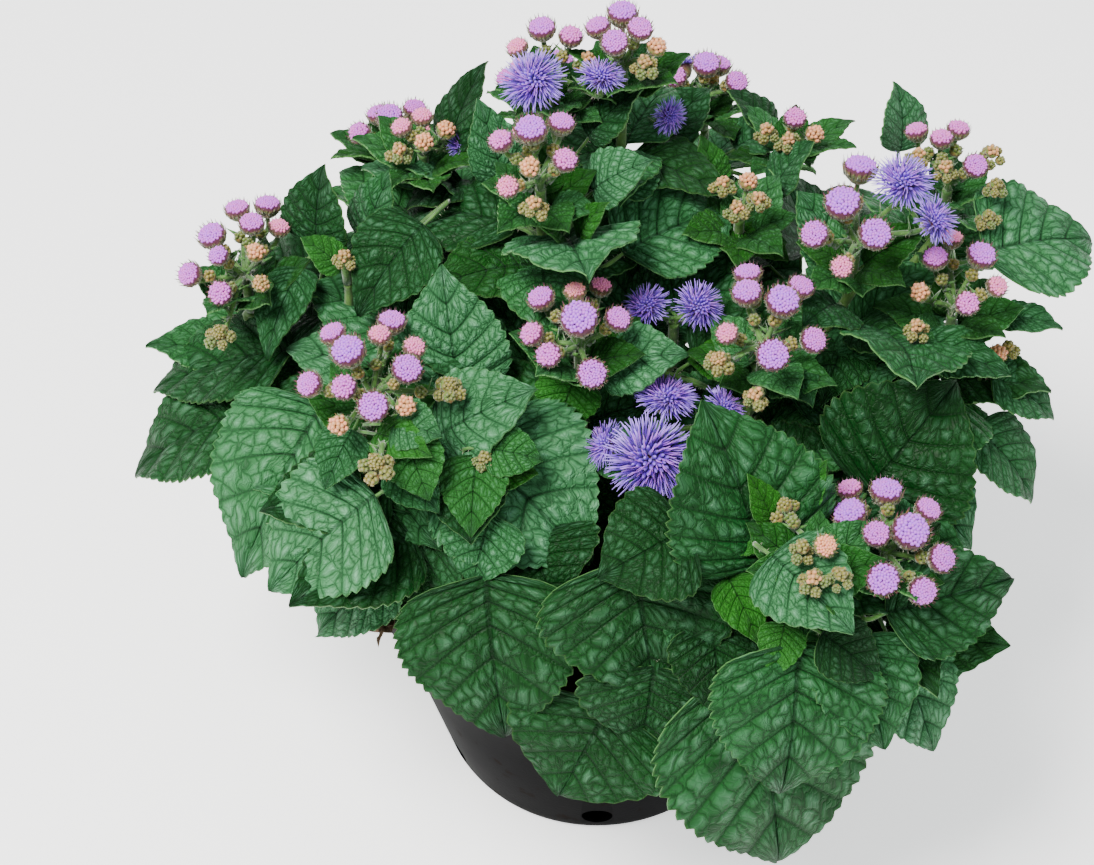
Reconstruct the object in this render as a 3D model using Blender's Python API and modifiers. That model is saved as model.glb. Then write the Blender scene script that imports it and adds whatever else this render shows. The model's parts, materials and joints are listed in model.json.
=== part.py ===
"""An ageratum in a round nursery pot: pot, soil, leafy stems and flower clusters.

The origin is the centre of the pot's base, +Z is up and the front of the plant is -Y.
Places in the tables are millimetres in that frame; the objects are in metres.
"""

import itertools
import math
import random
from collections import namedtuple

import bmesh
import bpy
from mathutils import Matrix, Vector
from mathutils.bvhtree import BVHTree

MM = 0.001

# Pot
RIM_R, RIM_TOP = 60.0, 82.0
COLLAR_DROP, COLLAR_IN = 11.0, 3.5
WALL, BASE_R, BASE_T = 1.6, 41.0, 2.4
DRAIN_R, DRAINS, DRAIN_Z, DRAIN_LENGTH, DRAIN_SIDES = 4.0, 6, 8.0, 16.0, 10
POT_STEPS = 26

# Soil, set a little below the rim
SOIL_TOP, SOIL_LUMP, SOIL_SEGMENTS = 73.0, 1.2, 16
SEAT = 0.3
HOLE_GAP, HOLE_DEPTH, HOLE_SIDES, HOLE_OVER = 0.7, 14.0, 6, 8.0

# Stems and stalks
STEM_R, STEM_TIP_R, STEM_SPREAD = 1.7, 1.1, 0.42
BRANCH_R, BRANCH_FROM = 1.3, 0.45
UPRIGHT_TIP, BRANCH_POINTS = Vector((0, 0, 4)), 4
PETIOLE_R, PETIOLE_TIP_R, PETIOLE_DROP = 1.0, 0.6, 9.0
STALK_R, STALK_ROOT_R, FORK_RISE = 0.55, 0.45, 8.0
FORK_R, FORK_TIP_R, FORK_CAP, FORK_SIDES = 1.2, 1.5, 1.0, 5

# Leaves
BLADE_T, TOOTH, ARCH, FOLD, CORDATE = 0.7, 0.11, 0.11, 0.16, 0.30
TEETH = ((38.0, 4), (18.0, 3), (0.0, 2))
CLEAR, LEAST_Z, PETIOLE_MEETS = 0.4, 6.0, 0.14
LEAN_R, LEAN_FROM, LEAN_SPAN, LEAN_MOST = 80.0, 150.0, 70.0, 1.1

# Heads
HEAD_SIDES, BLOOM_SIDES = 6, 18
FRINGE, BLOOM_FRINGE, FLORET, BUD = 0.86, 0.55, 0.22, 5.5
DISC_RISE, BUD_RISE, CUP, MOST_CUP = 0.16, 0.5, 0.62, 5.0

Leaf = namedtuple("Leaf", "stem base tip width")
Cluster = namedtuple("Cluster", "seat heads blooms")

# Each stem's flower cluster: its seat, its closed heads (x, y, z, width) and its open blooms.
CLUSTERS = {
    "top": Cluster((6, 56, 162), ((0, 64, 179, 6.3), (4, 52, 183, 6.6), (10, 56, 184, 6.2),
                                  (6, 64, 183, 7.4), (14, 54, 180, 4.8), (11, 50, 178, 4.2)),
                   ()),
    "top_left": Cluster((-10, 56, 157), ((-19, 61, 175, 5.3), (-13, 62, 180, 6.7), (-6, 60, 179, 5.8),
                                         (-2, 58, 173, 4.3)),
                        ((-15, 47, 176, 16, (-0.2, -0.5, 0.9)), (1, 48, 177, 12, (0.1, -0.1, 1.0)))),
    "side": Cluster((14, 62, 138), (), ((18, 57, 157, 10, (0.5, -0.7, 0.4)),)),
    "crown": Cluster((-13, 28, 150), ((-15, 32, 174, 7.7), (-8, 38, 171, 6.3), (-22, 30, 172, 5.8),
                                      (-17, 37, 169, 5.3), (-7, 23, 172, 5.8), (-15, 19, 173, 4.8),
                                      (-20, 17, 169, 5.3), (-14, 13, 167, 4.3)), ()),
    "left_bud": Cluster((-42, 53, 140), ((-47, 55, 156, 5.3), (-42, 58, 157, 5.3), (-36, 55, 155, 4.8),
                                         (-41, 49, 156, 4.8), (-47, 48, 154, 4.3)),
                        ((-32, 55, 150, 9, (0.3, -0.4, 0.6)),)),
    "far_bud": Cluster((48, 72, 128), ((49, 70, 147, 5.8), (42, 68, 144, 4.3), (47, 63, 145, 4.3),
                                       (54, 67, 144, 4.8)), ()),
    "mid_bud": Cluster((34, 38, 132), ((36, 42, 150, 4.8), (30, 43, 148, 4.3), (38, 36, 149, 4.3),
                                       (33, 34, 148, 4.3)), ()),
    "right_far": Cluster((86, 54, 128), ((84, 61, 148, 5.8), (79, 69, 144, 5.8), (78, 56, 146, 4.3),
                                         (91, 49, 149, 6.3), (89, 66, 147, 5.8), (96, 56, 147, 4.3),
                                         (96, 46, 145, 3.9), (84, 50, 147, 4.3), (94, 40, 140, 3.9)), ()),
    "right": Cluster((60, 22, 136), ((62, 41, 156, 8.2), (56, 23, 160, 8.7), (49, 15, 157, 6.7),
                                     (63, 14, 158, 7.7), (55, 7, 154, 5.3)),
                     ((70, 27, 163, 15, (0.0, -0.3, 1.0)), (78, 20, 157, 13, (0.5, -0.3, 0.7)))),
    "right_low": Cluster((84, 18, 120), ((79, 23, 143, 6.3), (90, 23, 144, 7.2), (84, 31, 142, 5.3),
                                         (93, 15, 141, 5.3), (85, 8, 142, 5.8), (75, 15, 139, 4.8),
                                         (74, 7, 135, 4.3)), ()),
    "centre_right": Cluster((38, 0, 124), ((35, 19, 142, 6.7), (34, 7, 147, 7.2), (42, 2, 149, 8.2),
                                           (47, 11, 145, 6.3), (49, -5, 143, 6.3), (39, -13, 146, 7.7),
                                           (29, -5, 145, 5.3), (27, -11, 142, 4.8), (35, -20, 140, 4.3)),
                            ()),
    "centre": Cluster((-4, -3, 128), ((-4, -6, 151, 8.9), (-13, 5, 147, 6.5), (-5, 5, 149, 5.1),
                                      (1, 10, 146, 5.3), (5, -1, 146, 6.3), (-11, -12, 145, 6.0),
                                      (-1, -16, 143, 7.0), (-15, -4, 144, 5.8)), ()),
    "hollow": Cluster((13, -14, 108), (), ((12, -27, 127, 21, (0.0, -0.7, 0.75)),
                                           (16, -10, 131, 15, (0.1, 0.1, 1.0)),
                                           (1, -19, 124, 12, (-0.7, -0.2, 0.6)),
                                           (30, -12, 129, 12, (0.6, 0.0, 0.8)))),
    "hollow_back": Cluster((18, 13, 122), (), ((11, 12, 138, 12, (-0.3, -0.3, 0.9)),
                                               (24, 12, 138, 13, (0.2, -0.4, 0.9)))),
    "left": Cluster((-51, -10, 118), ((-56, -8, 143, 8.2), (-61, 4, 137, 6.3), (-47, 6, 139, 6.7),
                                      (-49, -3, 143, 5.3), (-41, -5, 141, 5.3), (-42, -14, 143, 7.2),
                                      (-65, -13, 137, 6.3), (-56, -19, 142, 6.0), (-49, -25, 142, 7.2),
                                      (-42, -23, 140, 4.8), (-57, -26, 137, 4.8), (-33, -13, 136, 7.2)),
                      ()),
    "left_side_bud": Cluster((-47, -28, 124), ((-48, -36, 135, 5.8),), ()),
    "inner_bud": Cluster((-26, -22, 116), ((-25, -27, 127, 3.8),), ()),
    "far_left": Cluster((-85, 33, 116), ((-93, 38, 137, 7.2), (-88, 49, 136, 6.3), (-81, 53, 134, 6.7),
                                         (-83, 40, 139, 6.3), (-77, 43, 135, 5.3), (-90, 29, 138, 5.1),
                                         (-98, 29, 132, 6.3), (-89, 20, 134, 6.0), (-81, 30, 138, 4.8),
                                         (-79, 21, 136, 4.3), (-89, 12, 128, 4.8)), ()),
    "back_left_bud": Cluster((-60, 30, 128), ((-60, 29, 137, 4.2),), ()),
    "front_right": Cluster((64, -44, 104), ((56, -36, 120, 8.0), (57, -27, 118, 5.8), (65, -30, 121, 7.7),
                                            (74, -36, 121, 6.3), (61, -46, 124, 6.3), (69, -45, 124, 8.9),
                                            (76, -49, 119, 6.7), (62, -56, 120, 7.7), (71, -57, 117, 6.7)),
                           ()),
    "front_right_buds": Cluster((47, -50, 112), ((49, -54, 129, 5.3), (44, -54, 128, 3.9),
                                                 (46, -61, 126, 4.3), (52, -60, 126, 3.9),
                                                 (41, -38, 124, 7.2)), ()),
    "right_bud": Cluster((95, 16, 108), ((96, 15, 119, 4.8), (99, 18, 118, 4.0)), ()),
    "back_left": Cluster((-52, 76, 122), ((-52, 76, 143, 7.2), (-60, 74, 139, 6.0), (-46, 83, 140, 6.2),
                                          (-44, 73, 141, 5.2), (-56, 85, 137, 6.4)), ()),
    "back": Cluster((-14, 88, 128), ((-14, 89, 150, 7.6), (-23, 87, 146, 6.0), (-6, 85, 148, 6.4),
                                     (-9, 97, 145, 6.8), (-20, 97, 143, 5.4)), ()),
    "back_right": Cluster((28, 94, 124), ((28, 95, 145, 7.4), (20, 93, 142, 6.0), (36, 91, 142, 6.2),
                                          (32, 103, 139, 6.6)), ((22, 103, 139, 12, (-0.2, 0.7, 0.6)),)),
}

# Side shoots: they leave the stem of another cluster, where the rest rise from the soil.
BRANCHES = {
    "side": "top", "top_left": "top", "left_side_bud": "left", "inner_bud": "left", "back_left_bud": "far_left",
    "hollow_back": "centre", "right_bud": "right_low", "front_right_buds": "front_right",
    "mid_bud": "right", "far_bud": "right_far",
}

# The leaves that the front shows, from the blade's base to its tip, with the blade's width.
LEAVES = [
    Leaf("left", (-66, -3, 118), (-82, -25, 80), 38), Leaf("left", (-50, -29, 117), (-75, -40, 96), 31),
    Leaf("left", (-45, -31, 99), (-67, -34, 72), 22), Leaf("left", (-45, -27, 126), (-35, -37, 120), 13),
    Leaf("left", (-55, -19, 128), (-61, -30, 120), 13), Leaf("left", (-32, 1, 120), (-36, 18, 145), 27),
    Leaf("left", (-36, -15, 122), (-13, -14, 136), 20),
    Leaf("inner_bud", (-22, -17, 112), (1, -33, 93), 44),
    Leaf("inner_bud", (-29, -26, 119), (-28, -42, 115), 18),
    Leaf("inner_bud", (-25, -50, 110), (-20, -64, 67), 37),
    Leaf("hollow", (9, -46, 115), (12, -60, 84), 38), Leaf("hollow", (8, -66, 92), (-16, -66, 54), 34),
    Leaf("hollow", (38, -63, 96), (43, -71, 29), 50),
    Leaf("front_right", (47, -63, 104), (41, -80, 70), 38),
    Leaf("front_right_buds", (37, -44, 111), (23, -20, 139), 36),
    Leaf("front_right_buds", (38, -51, 122), (55, -68, 116), 20),
    Leaf("front_right_buds", (22, -48, 105), (20, -59, 91), 14),
    Leaf("front_right", (49, -62, 109), (62, -67, 99), 15),
    Leaf("front_right", (64, -54, 106), (95, -39, 100), 26),
    Leaf("front_right", (66, -54, 96), (77, -66, 70), 24),
    Leaf("centre_right", (62, -22, 110), (83, -3, 128), 40),
    Leaf("right_low", (70, -18, 112), (87, -29, 98), 25),
    Leaf("far_left", (-72, 37, 126), (-79, 15, 116), 15),
    Leaf("far_left", (-74, 22, 113), (-111, 25, 95), 22),
    Leaf("far_left", (-80, 11, 105), (-116, 8, 80), 27),
    Leaf("far_left", (-68, 41, 130), (-65, 48, 150), 20),
    Leaf("back_left_bud", (-56, 42, 130), (-48, 48, 149), 16),
    Leaf("back_left_bud", (-41, 34, 143), (-57, 21, 125), 24),
    Leaf("crown", (-7, 26, 145), (-2, -2, 158), 32), Leaf("crown", (-19, 32, 144), (-47, 50, 134), 24),
    Leaf("crown", (6, 26, 141), (33, 46, 135), 29), Leaf("crown", (-1, 32, 155), (13, 33, 163), 16),
    Leaf("crown", (3, 39, 149), (15, 51, 149), 16), Leaf("crown", (-2, 48, 158), (11, 53, 169), 17),
    Leaf("crown", (-22, 40, 151), (-28, 50, 168), 14), Leaf("left_bud", (-36, 57, 146), (-26, 67, 166), 14),
    Leaf("left_bud", (-34, 50, 139), (-46, 47, 149), 13),
    Leaf("left_bud", (-42, 54, 140), (-58, 58, 140), 14), Leaf("side", (14, 67, 139), (29, 81, 147), 20),
    Leaf("far_bud", (44, 80, 134), (33, 88, 141), 15), Leaf("far_bud", (44, 56, 135), (53, 60, 147), 16),
    Leaf("right_far", (77, 77, 130), (75, 88, 144), 19), Leaf("right", (58, 26, 138), (47, 38, 150), 18),
    Leaf("right", (56, 16, 134), (47, 4, 138), 18), Leaf("right", (70, 12, 126), (71, -17, 139), 31),
    Leaf("right_low", (76, 10, 126), (97, 3, 123), 15),
    Leaf("right_far", (93, 35, 133), (123, 50, 123), 30),
    Leaf("right_low", (97, 24, 122), (112, 21, 121), 10),
    Leaf("right_bud", (95, 14, 112), (111, 9, 102), 18), Leaf("right_bud", (91, 5, 103), (106, -4, 86), 20),
    Leaf("centre", (1, -2, 131), (21, -3, 136), 19), Leaf("centre_right", (42, 0, 129), (49, -13, 129), 14),
    Leaf("centre", (-20, 29, 129), (-38, 37, 131), 14),
]

# Rings of leaves that the front hides: count, first and last heading, base radius and height, tip rise, length, width.
RINGS = (
    (("back_left", "back", "back_right"), 4, 148, 48, 78, 116, -16, 40, 32),
    (("back_left", "back", "back_right", "right_far"), 5, 158, 30, 62, 96, -24, 44, 36),
    (("far_left", "back_left", "back_right", "right_far"), 4, 172, 12, 64, 90, -32, 36, 30),
    (("hollow", "left", "far_left", "left_bud", "crown", "right", "centre_right"), 8, 255, -68, 26, 92, -4, 30, 24),
)


def clear_scene():
    for obj in list(bpy.data.objects):
        bpy.data.objects.remove(obj, do_unlink=True)


def material(name, colour, roughness):
    made = bpy.data.materials.new(name)
    made.use_nodes = True
    shader = made.node_tree.nodes["Principled BSDF"]
    shader.inputs["Base Color"].default_value = (*colour, 1.0)
    shader.inputs["Roughness"].default_value = roughness
    return made


def collection(name):
    made = bpy.data.collections.new(name)
    bpy.context.scene.collection.children.link(made)
    return made


def outer_shell(mesh):
    """Keeps the tallest connected shell: a sealed hollow is filled and a loose scrap is dropped."""
    shape = bmesh.new()
    shape.from_mesh(mesh)
    seen, shells = set(), []
    for start in shape.verts:
        if start in seen:
            continue
        shell, waiting = [], [start]
        seen.add(start)
        while waiting:
            vertex = waiting.pop()
            shell.append(vertex)
            for edge in vertex.link_edges:
                other = edge.other_vert(vertex)
                if other not in seen:
                    seen.add(other)
                    waiting.append(other)
        shells.append(shell)
    shells.sort(key=lambda shell: max(v.co.z for v in shell) - min(v.co.z for v in shell))
    for shell in shells[:-1]:
        bmesh.ops.delete(shape, geom=shell, context="VERTS")
    shape.to_mesh(mesh)
    shape.free()


def object_of(name, mesh, into):
    made = bpy.data.objects.new(name, mesh)
    into.objects.link(made)
    return made


def evaluated_mesh(obj):
    graph = bpy.context.evaluated_depsgraph_get()
    return bpy.data.meshes.new_from_object(obj.evaluated_get(graph))


def tube(points, radii, into):
    """A thin four-sided tube through points in millimetres, as a closed mesh object."""
    curve = bpy.data.curves.new("tube", "CURVE")
    curve.dimensions = "3D"
    curve.bevel_depth = MM
    curve.bevel_resolution = 0
    curve.use_fill_caps = True
    spline = curve.splines.new("POLY")
    spline.points.add(len(points) - 1)
    for at, point, radius in zip(spline.points, points, radii):
        at.co = (*(Vector(point) * MM), 1.0)
        at.radius = radius
    guide = object_of("tube", curve, into)
    mesh = evaluated_mesh(guide)
    bpy.data.objects.remove(guide, do_unlink=True)
    shape = bmesh.new()
    shape.from_mesh(mesh)
    bmesh.ops.remove_doubles(shape, verts=shape.verts, dist=1e-6)
    bmesh.ops.recalc_face_normals(shape, faces=shape.faces)
    shape.to_mesh(mesh)
    shape.free()
    return object_of("tube", mesh, into)


def leaf_frame(base, tip):
    """The leaf's turn: along the midrib, across it, and up, where the face of a low leaf leans outward."""
    along = (tip - base).normalized()
    lean = min(max((LEAN_FROM - base.z) / LEAN_SPAN, 0.0), LEAN_MOST)
    up = Vector((base.x * lean / LEAN_R, base.y * lean / LEAN_R, 1.0))
    normal = (up - along * up.dot(along)).normalized()
    return Matrix((along, normal.cross(along), normal)).transposed()


def blade_point(base, tip, along):
    """A point on the blade's midrib, a little above its upper face."""
    length = (tip - base).length
    rise = ARCH * 4 * along * (1 - along) * length + BLADE_T * 0.6
    return base + leaf_frame(base, tip) @ Vector((along * length, 0, rise))


def blade_surface(base, tip, width):
    """The blade as an open toothed sheet: a grid folded at its midrib and arched along it."""
    length = (tip - base).length
    teeth = next(count for least, count in TEETH if length >= least)
    turn = leaf_frame(base, tip)
    shape = bmesh.new()
    bmesh.ops.create_grid(shape, x_segments=2 * teeth, y_segments=2, size=1)
    for vertex in shape.verts:
        along, side = (vertex.co.x + 1) / 2, vertex.co.y
        step = round(along * 2 * teeth)
        reach = max(0.0, math.sin(math.pi * along ** 0.58)) ** 0.85
        reach *= 1 + (TOOTH if step % 2 else -TOOTH)
        back = CORDATE * math.sin(math.pi * along) * (1 - along) ** 2 * abs(side)
        y = side * reach * width / 2
        x = (along - back) * length
        z = ARCH * 4 * along * (1 - along) * length + FOLD * abs(y)
        vertex.co = (base + turn @ Vector((x, y, z))) * MM
    bmesh.ops.remove_doubles(shape, verts=shape.verts, dist=1e-6)
    bmesh.ops.triangulate(shape, faces=shape.faces)
    return shape


def blade(shape, into):
    """The sheet made a plate of the blade's thickness."""
    mesh = bpy.data.meshes.new("blade")
    shape.to_mesh(mesh)
    obj = object_of("blade", mesh, into)
    shell = obj.modifiers.new("Solidify", "SOLIDIFY")
    shell.thickness = BLADE_T * MM
    shell.offset = 0
    solid = evaluated_mesh(obj)
    obj.modifiers.clear()
    obj.data = solid
    return obj


def mesh_tree(mesh):
    return BVHTree.FromPolygons([v.co for v in mesh.vertices], [tuple(p.vertices) for p in mesh.polygons])


def sheet_tree(shape, lift):
    """A tree of the sheet on both sides, each raised by lift, and its rim, for the test of clearance."""
    shape.normal_update()
    shape.verts.index_update()
    faces = [[v.index for v in f.verts] for f in shape.faces]
    count = len(shape.verts)
    points = [v.co + v.normal * lift for v in shape.verts] + [v.co - v.normal * lift for v in shape.verts]
    rim = [[v.index for v in e.verts] for e in shape.edges if e.is_boundary]
    sides = [[a, b, b + count, a + count] for a, b in rim]
    return BVHTree.FromPolygons(points, faces + [[i + count for i in f] for f in faces] + sides)


def thin_tree(points, radius):
    """A tree of a three-sided tube through the points, for the test of clearance."""
    corners = []
    for i, point in enumerate(points):
        ahead = (points[min(i + 1, len(points) - 1)] - points[max(i - 1, 0)]).normalized()
        side = ahead.orthogonal().normalized()
        for k in range(3):
            corners.append((point + Matrix.Rotation(k * math.tau / 3, 3, ahead) @ side * radius) * MM)
    faces = []
    for i in range(len(points) - 1):
        for k in range(3):
            a, b = 3 * i + k, 3 * i + (k + 1) % 3
            faces.append((a, b, b + 3, a + 3))
    return BVHTree.FromPolygons(corners, faces)


class Obstacles:
    """Everything that a new leaf has to stay clear of, by the node that owns it."""

    def __init__(self):
        self.trees = []

    def add(self, owner, tree):
        self.trees.append((owner, tree))

    def hit(self, tree, but=None):
        return any(owner != but and tree.overlap(other) for owner, other in self.trees)


def stem_points(seat):
    """A stem from its hole in the soil, which curves out to the seat of its cluster."""
    x, y, z = seat
    foot = Vector((x * STEM_SPREAD, y * STEM_SPREAD, SOIL_TOP - HOLE_DEPTH + SEAT))
    neck = Vector((foot.x, foot.y, SOIL_TOP + 3))
    knee = Vector((x * 0.78, y * 0.78, SOIL_TOP + 0.55 * (z - SOIL_TOP)))
    top = Vector((x, y, z - SEAT))
    return [foot, neck, (neck + knee) / 2 + Vector((x, y, 0)) * 0.02, knee, top - UPRIGHT_TIP, top]


def branch_points(parent, seat):
    """A side shoot: it starts inside its parent stem and curves up to the seat of its cluster."""
    end = Vector(seat) - Vector((0, 0, SEAT))
    low = parent[1].z
    start = nearest_on(parent, low + BRANCH_FROM * (min(end.z, parent[-1].z) - low))
    middle = start.lerp(end, 0.55) + (end - start).length * 0.12 * Vector((0, 0, -1))
    return [start, middle, end - UPRIGHT_TIP, end]


def all_stems():
    """The points of every stem, those from the soil first and then their side shoots."""
    stems = {key: stem_points(c.seat) for key, c in CLUSTERS.items() if key not in BRANCHES}
    for key, parent in BRANCHES.items():
        stems[key] = branch_points(stems[parent], CLUSTERS[key].seat)
    return stems


def nearest_on(points, z):
    """The point of the stem at height z, kept clear of its two ends."""
    low = points[1].z if len(points) > BRANCH_POINTS else points[0].z
    z = min(max(z, low + 4), points[-1].z - 4)
    for a, b in zip(points, points[1:]):
        if a.z <= z <= b.z:
            return a.lerp(b, (z - a.z) / (b.z - a.z))
    return points[-2]


def tries():
    """Small changes of a leaf, mildest first: rise, turn, size, drop of its stalk and lift of its base."""
    steps = itertools.product((0, 8, -8, 16, -16, 26, -26), (0, 10, -10, 22, -22), (1.0, 0.87, 0.74, 0.62),
                              (0, 8), (0, 4, -5, -10))
    return sorted(steps, key=lambda s: abs(s[0]) + abs(s[1]) + 110 * (1 - s[2]) + s[3] * 0.5 + abs(s[4]) * 3)


TRIES = tries()


def moved(base, tip, rise, turn, size):
    """The tip after the leaf is raised, turned about the vertical and resized about its base."""
    along = (tip - base) * size
    flat = Vector((-along.y, along.x, 0.0))
    if flat.length < 1e-3:
        flat = Vector((1, 0, 0))
    along = Matrix.Rotation(math.radians(-rise), 3, flat) @ along
    return base + Matrix.Rotation(math.radians(turn), 3, "Z") @ along


def place_leaf(leaf, stems, blocked, into):
    """Builds one leaf with its stalk, bent clear of the rest, or leaves it out where nothing fits."""
    stem, owner = stems[leaf.stem], BRANCHES.get(leaf.stem, leaf.stem)
    for rise, turn, size, drop, lift in TRIES:
        base = Vector(leaf.base) + Vector((0, 0, lift))
        new_tip = moved(base, Vector(leaf.tip) + Vector((0, 0, lift)), rise, turn, size)
        if new_tip.z < LEAST_Z:
            continue
        start = nearest_on(stem, base.z - PETIOLE_DROP - drop)
        stalk = [start, blade_point(base, new_tip, PETIOLE_MEETS)]
        if blocked.hit(thin_tree(stalk, PETIOLE_R + CLEAR), owner):
            continue
        shape = blade_surface(base, new_tip, leaf.width * size)
        if blocked.hit(sheet_tree(shape, (BLADE_T / 2 + CLEAR) * MM)):
            shape.free()
            continue
        obj = blade(shape, into)
        shape.free()
        blocked.add("blade", mesh_tree(obj.data))
        petiole = cone(*stalk, PETIOLE_R, PETIOLE_TIP_R, into)
        blocked.add(owner, mesh_tree(petiole.data))
        return True
    print("no clear place for the leaf at", *leaf.base)
    return False


def head(centre, width, facing, into, sides=HEAD_SIDES, fringe=FRINGE):
    """A flower head: a hairy cup under a disc of florets in relief, with a fringed edge."""
    radius, depth = width / 2, min(width * CUP, MOST_CUP)
    shape = bmesh.new()
    bmesh.ops.create_cone(shape, cap_ends=True, segments=sides, radius1=0, radius2=radius, depth=depth)
    top = max(shape.faces, key=lambda f: f.calc_center_median().z)
    if width > BUD:
        bmesh.ops.inset_region(shape, faces=[top], thickness=radius * 0.4)
    middle = bmesh.ops.poke(shape, faces=[top])["verts"][0]
    middle.co.z += radius * (DISC_RISE if width > BUD else BUD_RISE)
    for vertex in sorted(shape.verts, key=lambda v: math.atan2(v.co.y, v.co.x)):
        reach = vertex.co.xy.length
        if reach < radius * 0.1:
            continue
        turn = round(math.atan2(vertex.co.y, vertex.co.x) / math.tau * sides)
        if reach > radius * 0.8:
            vertex.co.xy *= 1.0 if turn % 2 else fringe
            vertex.co.z += 0.0 if turn % 2 else radius * 0.05
        else:
            vertex.co.z += radius * (FLORET if turn % 2 else 0.04)
    facing = Vector(facing).normalized()
    turn = facing.to_track_quat("Z", "Y").to_matrix()
    for vertex in shape.verts:
        vertex.co = (Vector(centre) + turn @ (vertex.co - Vector((0, 0, depth / 2)))) * MM
    bmesh.ops.triangulate(shape, faces=shape.faces)
    bmesh.ops.recalc_face_normals(shape, faces=shape.faces)
    mesh = bpy.data.meshes.new("head")
    shape.to_mesh(mesh)
    shape.free()
    return object_of("head", mesh, into), depth


def cone(start, end, radius, tip_radius, into, sides=3):
    """A straight stalk between two points."""
    a, b = Vector(start), Vector(end)
    shape = bmesh.new()
    turn = (b - a).to_track_quat("Z", "Y").to_matrix().to_4x4()
    bmesh.ops.create_cone(shape, cap_ends=True, segments=sides, radius1=radius, radius2=tip_radius,
                          depth=(b - a).length, matrix=Matrix.Translation((a + b) / 2) @ turn)
    bmesh.ops.scale(shape, vec=(MM, MM, MM), verts=shape.verts)
    mesh = bpy.data.meshes.new("stalk")
    shape.to_mesh(mesh)
    shape.free()
    return object_of("stalk", mesh, into)


def build_cluster(key, cluster, blocked, into):
    """A flower cluster's pieces: a short stalk, and a thin stalk and head for each flower."""
    seat = Vector(cluster.seat)
    fork = seat + Vector((0, 0, FORK_RISE))
    pieces = [cone(seat, fork + Vector((0, 0, FORK_CAP)), FORK_R, FORK_TIP_R, into, FORK_SIDES)]
    flowers = [(*row[:4], None) for row in cluster.heads] + list(cluster.blooms)
    for x, y, z, width, facing in flowers:
        centre = Vector((x, y, z))
        way = (centre - fork).normalized()
        bloom = facing is not None
        looks = Vector(facing) if bloom else way + Vector((0, -0.15, 0.35))
        sides, fringe = (BLOOM_SIDES, BLOOM_FRINGE) if bloom else (HEAD_SIDES, FRINGE)
        flower, depth = head(centre, width, looks, into, sides, fringe)
        end = centre - looks.normalized() * depth * 0.55
        pieces += [flower, cone(fork, end, STALK_ROOT_R, STALK_R, into)]
    for piece in pieces:
        blocked.add(key, mesh_tree(piece.data))


def fused(name, pieces_in, into, look):
    """One object: the Boolean union of every piece in the collection, which are then removed."""
    pieces = list(pieces_in.objects)
    first, rest = pieces[0], pieces[1:]
    body = object_of(name, first.data.copy(), into)
    bpy.data.objects.remove(first, do_unlink=True)
    if rest:
        join = body.modifiers.new("Join", "BOOLEAN")
        join.operation = "UNION"
        join.solver = "MANIFOLD"
        join.operand_type = "COLLECTION"
        join.collection = pieces_in
        joined = evaluated_mesh(body)
        body.modifiers.clear()
        body.data = joined
        outer_shell(body.data)
    for piece in rest:
        bpy.data.objects.remove(piece, do_unlink=True)
    bpy.data.collections.remove(pieces_in)
    body.data.materials.clear()
    body.data.materials.append(look)
    return body


def turned(name, profile, into, steps=POT_STEPS):
    """A turned shape from a closed profile of (radius, height) points in millimetres."""
    shape = bmesh.new()
    ring = [shape.verts.new((r * MM, 0, z * MM)) for r, z in profile]
    for a, b in zip(ring, ring[1:]):
        shape.edges.new((a, b))
    mesh = bpy.data.meshes.new(name)
    shape.to_mesh(mesh)
    shape.free()
    obj = object_of(name, mesh, into)
    screw = obj.modifiers.new("Screw", "SCREW")
    screw.steps = screw.render_steps = steps
    screw.use_merge_vertices = True
    screw.merge_threshold = 1e-5
    return obj


def wall_radius(z):
    """The outer radius of the pot's wall at height z."""
    return BASE_R + (RIM_R - COLLAR_IN - BASE_R) * z / (RIM_TOP - COLLAR_DROP)


def build_pot(parts, cutters, look):
    """The pot: a tapered wall with a collar at the rim, a flat base and drain holes above its edge."""
    under = RIM_TOP - COLLAR_DROP
    lip = RIM_R - WALL
    profile = [
        (0, BASE_T), (BASE_R - WALL - 2, BASE_T), (wall_radius(under) - WALL, under - 2),
        (lip - 0.8, under + 2), (lip, RIM_TOP - 0.6), (lip + 0.5, RIM_TOP), (RIM_R - 0.4, RIM_TOP),
        (RIM_R, RIM_TOP - 0.8), (RIM_R - 0.9, under), (wall_radius(under), under - 0.6), (BASE_R, 2.0),
        (BASE_R - 1.5, 0), (0, 0),
    ]
    pot = turned("pot", profile, parts)
    pot.data.materials.append(look)
    for i in range(DRAINS):
        angle = math.tau * (i + 0.5) / DRAINS
        way = Vector((math.cos(angle), math.sin(angle), 0))
        shape = bmesh.new()
        turn = way.to_track_quat("Z", "Y").to_matrix().to_4x4()
        centre = way * (BASE_R - 3) + Vector((0, 0, DRAIN_Z))
        bmesh.ops.create_cone(shape, cap_ends=True, segments=DRAIN_SIDES, radius1=DRAIN_R, radius2=DRAIN_R,
                              depth=DRAIN_LENGTH, matrix=Matrix.Translation(centre) @ turn)
        bmesh.ops.scale(shape, vec=(MM, MM, MM), verts=shape.verts)
        mesh = bpy.data.meshes.new("drain")
        shape.to_mesh(mesh)
        shape.free()
        cutter = object_of(f"drain_{i + 1}", mesh, cutters)
        cutter.hide_render = True
        cutter.display_type = "WIRE"
    cut = pot.modifiers.new("Drains", "BOOLEAN")
    cut.operation = "DIFFERENCE"
    cut.operand_type = "COLLECTION"
    cut.collection = cutters
    return pot


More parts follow.
